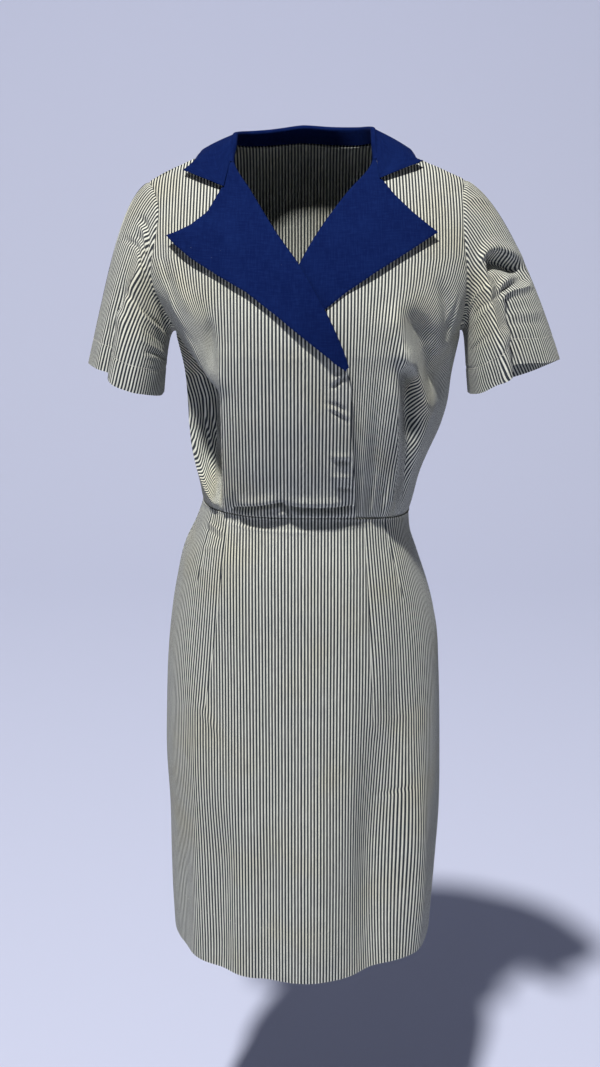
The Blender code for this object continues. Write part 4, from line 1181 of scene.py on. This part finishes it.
def navy_cotton():
    """Plain navy cotton, a little faded along its threads, with specks of lint."""
    dye = Dye("navy_cotton")
    flat, (across, along) = dye.places()
    threads = dye.noise(flat, 700.0, 2.0, (1.0, 0.12, 1.0))
    cross = dye.noise(flat, 700.0, 2.0, (0.12, 1.0, 1.0))
    weave = threads * 0.5 + cross * 0.5
    colour = dye.blend(dye.soft_step(weave, 0.38, 0.72, 0.0, 0.50), NAVY_CLOTH, NAVY_LIGHT)
    patches = dye.noise(flat, 34.0, 3.0)
    colour = dye.blend(dye.soft_step(patches, 0.42, 0.75, 0.0, 0.22), colour, NAVY_LIGHT)
    lint = dye.noise(flat, 420.0, 1.0)
    colour = dye.blend(dye.soft_step(lint, 0.80, 0.84, 0.0, 0.35), colour, (0.30, 0.34, 0.50, 1.0))
    crumple = dye.noise(flat, 70.0, 3.0)
    height = dye.weave(across, along) * 0.12 + crumple * 0.9 + weave * 0.3
    roughness = dye.soft_step(patches, 0.2, 0.8, 0.74, 0.86)
    return dye.finish(colour, roughness, height, 0.0010, 0.0, 0.03)


NAVY = ("navy_cotton", navy_cotton())
LAPEL_WAVES = {
    "over": figures("""
    -110 -78 -60 -100 4 10 12 1 0.4
    -30 -110 10 -170 2 6 8 1 0.4
    -125 -88 -112 -102 0 4 4 1 0.4
""", CREASE_UNITS),
    "under": figures("""
    60 -60 100 -90 3 10 10 1 0.4
    20 -105 60 -120 2 8 8 -0.8 0.4
""", CREASE_UNITS),
}


def lapel_layer(table, edge, out, height, shares, waves):
    """Points of a lapel's layer over the front, from the turned line to its outer edge."""
    keys = np.linspace(0.0, len(table) - 1.0, 15 * (len(table) - 1) // 2 + 1)
    rows = np.arange(len(table))
    roll_z, edge_x, edge_z, lift = (np.interp(keys, rows, column)[:, None] for column in table.T)
    roll_x = edge.read("across", roll_z)
    x = roll_x + (edge_x - roll_x) * shares
    z = roll_z + (edge_z - roll_z) * shares
    turn, level = place_at(x, z)
    base = bodice_form(turn, level)
    facing = form_normals(bodice_form, turn, level)
    rise = height + lift * shares**1.5 + out(base) + crease_height(waves, x, z) * ease(shares, 0.0, 0.3)
    grain = np.stack((x, z), axis=-1)
    return base, facing, base + facing * rise[..., None], grain, out(base)


def lapel(name, table, edge, out, side):
    shares = fine(44, (False, True))[None, :]
    waves = LAPEL_WAVES[name]
    base, facing, points, grain, lift = lapel_layer(table, edge, out, FACING_HEIGHT, shares, waves)
    points = points + facing * tucked(gap_to(points, points[:, -1:]), 0.0006, 0.0016)[..., None]
    root, up = base[:, 0] + facing[:, 0] * lift[:, :1], facing[:, 0]
    along = unit(np.gradient(root, axis=0))
    away = unit(turned_to(base[:, 0] - base[:, 1], np.cross(along, up)))
    radius = (FACING_HEIGHT + CLOTH + LAY_GAP + FACING) / 2
    middle = root + up * (FACING_HEIGHT - radius) + away * SEAM_GAP
    roll_points, roll_facing, roll_grain = [], [], []
    for angle in np.radians(np.arange(180.0, 0.0, -15.0)):
        direction = up * math.cos(angle) + away * math.sin(angle)
        roll_points.append(middle + direction * radius)
        roll_facing.append(direction)
        roll_grain.append(grain[:, 0] + np.array((-side * angle * radius, 0.0)))
    points = np.concatenate((np.stack(roll_points, axis=1), points), axis=1)
    facing = np.concatenate((np.stack(roll_facing, axis=1), facing), axis=1)
    grain = np.concatenate((np.stack(roll_grain, axis=1), grain), axis=1)
    dress_piece(f"lapel_{name}", points, facing, grain, NAVY, THIN)

    shares = fine(40, (False, False))[None, :] * 0.965 + 0.02
    _, facing, points, grain, _ = lapel_layer(table[:-1], edge, out, LAY_GAP + FACING, shares, waves)
    points[:, -1] -= unit(points[:, -1] - points[:, -2]) * CLOTH_SHORT
    dress_piece(f"lapel_{name}_cloth", points, facing, grain, STRIPED, THIN)


lapel("over", OVER_LAPEL, OVER_EDGE, over_out, -1)
lapel("under", UNDER_LAPEL, UNDER_EDGE, under_out, 1)


# ---- The collar
# A navy upper collar that stands up from the neck seam, folds over and falls on the shoulders. It is backed
# by an under collar of the striped cotton, whose edge shows as a dotted line along the collar's lower edge.

COLLAR = Table("station neck_x neck_level stand lean edge_x edge_level lift", """
    0 -0.0794 1.868 0 0 -0.128 1.85 0.006
    0.09 -0.0802 1.935 0.009 0.001 -0.122 1.915 0.005
    0.18 -0.081 2 0.014 0.001 -0.113 2 0.004
    0.28 -0.069 2.075 0.018 0.002 -0.098 2.15 0.003
    0.39 -0.038 2.126 0.02 0.003 -0.06 2.275 0.003
    0.5 0 2.143 0.022 0.005 0 2.335 0.003
    0.61 0.038 2.126 0.022 0.005 0.063 2.275 0.003
    0.72 0.069 2.075 0.021 0 0.104 2.15 0.003
    0.82 0.081 2 0.018 -0.002 0.121 2 0.004
    0.91 0.0802 1.94 0.011 -0.001 0.126 1.935 0.004
    1 0.0796 1.875 0 0 0.129 1.895 0.005
""")
COLLAR_NOTCH = {"right": (-0.0862, -0.0380), "left": (0.0832, -0.0296)}
NOTCH_SHARE = 0.45
COLLAR_RADIUS = 0.0030
COLLAR_SWELL = 0.0015
COLLAR_GROWN = 0.010
TOWARDS_NECK = 0.2
ENDS_REACH = 0.12
COLLAR_CENTRE = np.array((0.0, 0.015, 0.0))
UNDER_SHOWS = 0.0009


def collar_end(name, share, start, tip, lift):
    """A point on the collar's end: down the seam to the notch, then out along the lower edge to the tip."""
    notch = np.array(COLLAR_NOTCH[name])
    start, tip = start[[0, 2]], tip[[0, 2]]
    if share < NOTCH_SHARE:
        place = start + (notch - start) * share / NOTCH_SHARE
    else:
        place = notch + (tip - notch) * (share - NOTCH_SHARE) / (1 - NOTCH_SHARE)
    turn, level = place_at(place[0], place[1])
    height = FACING_HEIGHT + 0.0005 + lift * max(share - NOTCH_SHARE, 0.0) / (1 - NOTCH_SHARE)
    return bodice_form(turn, level) + form_normals(bodice_form, turn, level) * height


def collar():
    station = np.linspace(0.0, 1.0, 141)
    neck_x, neck_level = COLLAR.read("neck_x", station), COLLAR.read("neck_level", station)
    behind = neck_level > SHOULDER
    level = np.where(behind, 2 * SHOULDER - neck_level, neck_level)
    edges = np.where(neck_x < 0, edge_turn(OVER_EDGE, level), edge_turn(UNDER_EDGE, level))
    neck_turn = np.where(behind, turn_at(neck_x, level), edges)
    root = bodice_form(neck_turn, neck_level)
    normal = form_normals(bodice_form, neck_turn, neck_level)
    along = unit(np.gradient(root, axis=0))
    towards = unit((COLLAR_CENTRE - root) * (1.0, 1.0, 0.0))
    away = unit(turned_to(towards, np.cross(along, normal)))
    stand, lean = COLLAR.read("stand", station)[:, None], COLLAR.read("lean", station)[:, None]
    grown = ease(stand, 0.0, COLLAR_GROWN)
    upright = unit(np.array((0.0, 0.0, 1.0)) + towards * TOWARDS_NECK)
    fold_up = unit(away * (1 - grown) + upright * grown)
    sideways = turned_to(-towards, unit(np.cross(along, fold_up)))
    low_middle = root + normal * (FACING_HEIGHT - COLLAR_RADIUS) + away * SEAM_GAP
    high_middle = root + away * (2 * FACING + LAY_GAP) / 2 + upright * (stand - COLLAR_RADIUS)
    high_middle += towards * lean
    middle = low_middle * (1 - grown) + high_middle * grown
    foot_low = root - normal * (CLOTH + LAY_GAP + FACING)
    foot_high = root + away * (2 * FACING + 2 * SEAM_GAP)
    foot = foot_low * (1 - grown) + foot_high * grown + (away - normal) * grown * (1 - grown) * 0.003
    first = middle - sideways * COLLAR_RADIUS
    sections = [foot + (first - foot) * share for share in np.linspace(0.0, 0.9, 8)]
    for angle in np.radians(np.linspace(0.0, 180.0, 11)):
        across = -sideways * math.cos(angle) * COLLAR_RADIUS
        sections.append(middle + across + fold_up * math.sin(angle) * COLLAR_RADIUS)
    turned = len(sections)
    last = sections[-1]
    edge_x, edge_level = COLLAR.read("edge_x", station), COLLAR.read("edge_level", station)
    edge_turned = turn_at(edge_x, np.where(edge_level > SHOULDER, 2 * SHOULDER - edge_level, edge_level))
    edge = bodice_form(edge_turned, edge_level)
    lift = COLLAR.read("lift", station)
    edge = edge + form_normals(bodice_form, edge_turned, edge_level) * (FACING_HEIGHT + lift[:, None])
    ends = (("right", 0, station), ("left", -1, 1 - station))
    for share in fine(30, (False, True))[1:]:
        point = last + (edge - last) * share
        swell = COLLAR_SWELL * math.sin(math.pi * share)
        for name, row, from_end in ends:
            bend = np.clip(1 - from_end / ENDS_REACH, 0.0, 1.0)
            shift = collar_end(name, share, last[row], edge[row], lift[row]) - point[row]
            point = point + np.outer(bend, shift) + sideways * swell * bend[:, None]
        sections.append(point + sideways * swell)
    points = np.stack(sections, axis=1)
    facing = unit(np.cross(np.gradient(points, axis=0), np.gradient(points, axis=1)))
    if facing[len(facing) // 2, -1] @ np.array((0.0, 1.0, 1.0)) < 0:
        facing = -facing
    from_edge = gap_to(points, points[:, -1:], points[:1], points[-1:])
    outer = points + facing * tucked(from_edge, 0.0005, 0.0016)[..., None]
    across = cumulated(points, 0)[:, turned : turned + 1]
    down = cumulated(points, 1)
    grain = np.stack((np.broadcast_to(across, down.shape), down), axis=-1)
    dress_piece("collar", outer, facing, grain, NAVY, THIN)
    under_collar(points[2:-2, turned + 3 :], facing[2:-2, turned + 3 :])


def under_collar(fall, facing):
    """The striped cloth under the collar's fall, which shows past its lower edge."""
    under = fall - facing * (FACING + SEAM_GAP)
    under[:, -1] += unit(under[:, -1] - under[:, -2]) * UNDER_SHOWS
    down = np.linspace(0.0, 1.0, under.shape[1])
    reach = (-0.0010 + 0.0022 * ease(down, NOTCH_SHARE - 0.05, NOTCH_SHARE + 0.05))[:, None]
    under[0] += unit(under[0] - under[1]) * reach
    under[-1] += unit(under[-1] - under[-2]) * reach
    grain = np.stack((fall[..., 0], fall[..., 1] + fall[..., 2]), axis=-1)
    dress_piece("collar_under", under, facing, grain, STRIPED, THIN)


collar()


# ---- The stitches
# Cream cotton thread: a row of machine stitches round each sleeve's hem, and small wide-set hand stitches
# that catch the skirt's deep hem.

THREAD = 0.00030
TWIST = 0.0007
MACHINE_SPACING, MACHINE_LENGTH = 0.0033, 0.0026
HAND_SPACING, HAND_LENGTH = 0.0085, 0.0013


def thread_material():
    dye = Dye("cream_thread")
    _, (across, along) = dye.places()
    twist_relief_and_shade = ((across + along * 0.6) * (2 * math.pi / TWIST)).math("SINE")
    # Painted shade: the thread is coloured darker in the grooves of its twist, along the same wave as its
    # bumps.
    colour = dye.blend(dye.soft_step(twist_relief_and_shade, -1.0, 1.0), (0.50, 0.49, 0.44, 1.0), (0.74, 0.72, 0.64, 1.0))
    return dye.finish(colour, 0.75, twist_relief_and_shade, 0.0001, 0.1)


CREAM_THREAD = thread_material()


def stitches(name, ends, facing):
    """Short threads between pairs of points, each sunk at its ends and arched between them."""
    ends, facing = np.asarray(ends), unit(np.asarray(facing))
    shares = np.linspace(0.0, 1.0, 5)
    angles = np.linspace(0.0, 2 * math.pi, 6, endpoint=False)
    run = ends[:, 1] - ends[:, 0]
    side = unit(np.cross(run, facing))
    rings = []
    for share in shares:
        arch = math.sin(math.pi * share)
        centre = ends[:, 0] + run * share + facing * (THREAD * (1.3 * arch - 0.5))
        radius = THREAD * (0.55 + 0.45 * arch)
        for angle in angles:
            rings.append(centre + (side * math.cos(angle) + facing * math.sin(angle)) * radius)
    points = np.stack(rings, axis=1)
    count, per = len(points), points.shape[1]
    starts, rows = range(0, count * per, per), range(0, per - 6, 6)
    faces = [(i + j, i + (j + 1) % 6, i + 6 + (j + 1) % 6, i + 6 + j) for i in rows for j in range(6)]
    faces += [tuple(range(5, -1, -1)), tuple(range(per - 6, per))]
    all_faces = [tuple(start + corner for corner in face) for start in starts for face in faces]
    mesh = bpy.data.meshes.new(name)
    mesh.from_pydata(points.reshape(-1, 3).tolist(), [], all_faces)
    mesh.validate()
    layer = mesh.uv_layers.new(name="cloth")
    spots = points.reshape(-1, 3)[:, [0, 2]]
    corners = np.empty(len(mesh.loops), dtype=np.int32)
    mesh.loops.foreach_get("vertex_index", corners)
    layer.data.foreach_set("uv", spots[corners].ravel().astype(np.float32))
    mesh.shade_smooth()
    mesh.materials.append(CREAM_THREAD)
    piece = bpy.data.objects.new(name, mesh)
    bpy.context.scene.collection.objects.link(piece)
    bpy.context.view_layer.objects.active = piece
    piece.select_set(True)
    bpy.ops.object.mode_set(mode="EDIT")
    bpy.ops.mesh.select_all(action="SELECT")
    bpy.ops.mesh.normals_make_consistent(inside=False)
    bpy.ops.object.mode_set(mode="OBJECT")
    piece.select_set(False)
    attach(piece, "root")


def along_line(points, facing, spacing, length):
    """Pairs of points along a line on the cloth, a stitch's length apart, and the cloth's facing there."""
    reach = np.concatenate(([0.0], np.cumsum(np.linalg.norm(np.diff(points, axis=0), axis=1))))
    starts = np.arange(spacing / 2, reach[-1] - length, spacing)

    def read(values, at):
        return np.stack([np.interp(at, reach, values[:, axis]) for axis in range(3)], axis=-1)

    ends = np.stack((read(points, starts), read(points, starts + length)), axis=1)
    return ends, read(facing, starts + length / 2)


def level_line(points, facing, fallen, wanted):
    """The line on a grid of cloth at a distance back from its last row."""
    line, directions = [], []
    for column in range(points.shape[1]):
        down = fallen[:, column]
        line.append([np.interp(wanted[column], down, points[:, column, axis]) for axis in range(3)])
        nearest = int(np.argmin(np.abs(down - wanted[column])))
        directions.append(facing[nearest, column])
    return np.array(line), np.array(directions)


for sleeve_name, (points, facing) in SLEEVES.items():
    fallen = cumulated(points, 0)
    line, directions = level_line(points, facing, fallen, fallen[-1] - SLEEVE_HEM_DEPTH)
    line = np.concatenate((line, line[:1]))
    directions = np.concatenate((directions, directions[:1]))
    ends = along_line(line, directions, MACHINE_SPACING, MACHINE_LENGTH)
    stitches(f"sleeve_{sleeve_name}_stitches", *ends)

for panel, (points, facing) in SKIRTS.items():
    fallen = cumulated(points, 0)
    line, directions = level_line(points, facing, fallen, fallen[-1] - SKIRT_HEM_DEPTH)
    stitches(f"skirt_{panel}_hem_stitches", *along_line(line, directions, HAND_SPACING, HAND_LENGTH))


# ---- The floor, the backdrop and the light
# A pale paper sweep curves up behind and below the dress. One strong lamp stands high in front, on the
# wearer's right, like midday sun, with a weak lamp on the other side, a faint one behind and a pale sky.

SWEEP = (0.54, 0.57, 0.72, 1.0)
FLOOR_HEIGHT = -1.42
WALL_AWAY = 4.6
SWEEP_CURVE = 2.2
SWEEP_REACH = 7.0
WALL_TOP = 4.0


def sweep():
    start = WALL_AWAY - SWEEP_CURVE
    profile = [(-SWEEP_REACH, FLOOR_HEIGHT), (start, FLOOR_HEIGHT)]
    for angle in np.radians(np.linspace(-90.0, 0.0, 25)[1:]):
        away, up = math.cos(angle), 1 + math.sin(angle)
        profile.append((start + SWEEP_CURVE * away, FLOOR_HEIGHT + SWEEP_CURVE * up))
    profile.append((WALL_AWAY, WALL_TOP))
    points = [(x, y, z) for y, z in profile for x in (-SWEEP_REACH, SWEEP_REACH)]
    faces = [(2 * i, 2 * i + 1, 2 * i + 3, 2 * i + 2) for i in range(len(profile) - 1)]
    mesh = bpy.data.meshes.new("sweep")
    mesh.from_pydata(points, [], faces)
    mesh.shade_smooth()
    paper = bpy.data.materials.new("paper")
    paper.use_nodes = True
    paper.node_tree.nodes["Principled BSDF"].inputs["Base Color"].default_value = SWEEP
    paper.node_tree.nodes["Principled BSDF"].inputs["Roughness"].default_value = 0.9
    mesh.materials.append(paper)
    backdrop = bpy.data.objects.new("sweep", mesh)
    bpy.context.scene.collection.objects.link(backdrop)


def soft_light(name, place, aim, size, watts, colour):
    light = bpy.data.lights.new(name, "AREA")
    light.shape = "DISK"
    light.size = size
    light.energy = watts
    light.color = colour
    lamp = bpy.data.objects.new(name, light)
    lamp.location = place
    direction = np.array(aim) - np.array(place)
    pitch = math.atan2(math.hypot(direction[0], direction[1]), -direction[2])
    lamp.rotation_euler = (pitch, 0.0, math.atan2(direction[1], direction[0]) - math.pi / 2)
    bpy.context.scene.collection.objects.link(lamp)


sweep()
soft_light("key", (-1.10, -3.25, 6.85), (0.0, 0.0, -0.45), 0.50, 930.0, (1.0, 0.985, 0.96))
soft_light("fill", (1.9, -1.9, 0.5), (0.0, 0.0, -0.5), 1.8, 1.2, (0.93, 0.95, 1.0))
soft_light("back_light", (0.3, 2.4, 1.6), (0.0, 0.0, -0.4), 1.2, 0.1, (1.0, 1.0, 1.0))
sky = bpy.data.worlds.new("sky")
sky.use_nodes = True
sky.node_tree.nodes["Background"].inputs["Color"].default_value = (0.80, 0.84, 1.0, 1.0)
sky.node_tree.nodes["Background"].inputs["Strength"].default_value = 0.075
bpy.context.scene.world = sky
bpy.context.scene.view_settings.view_transform = "Standard"
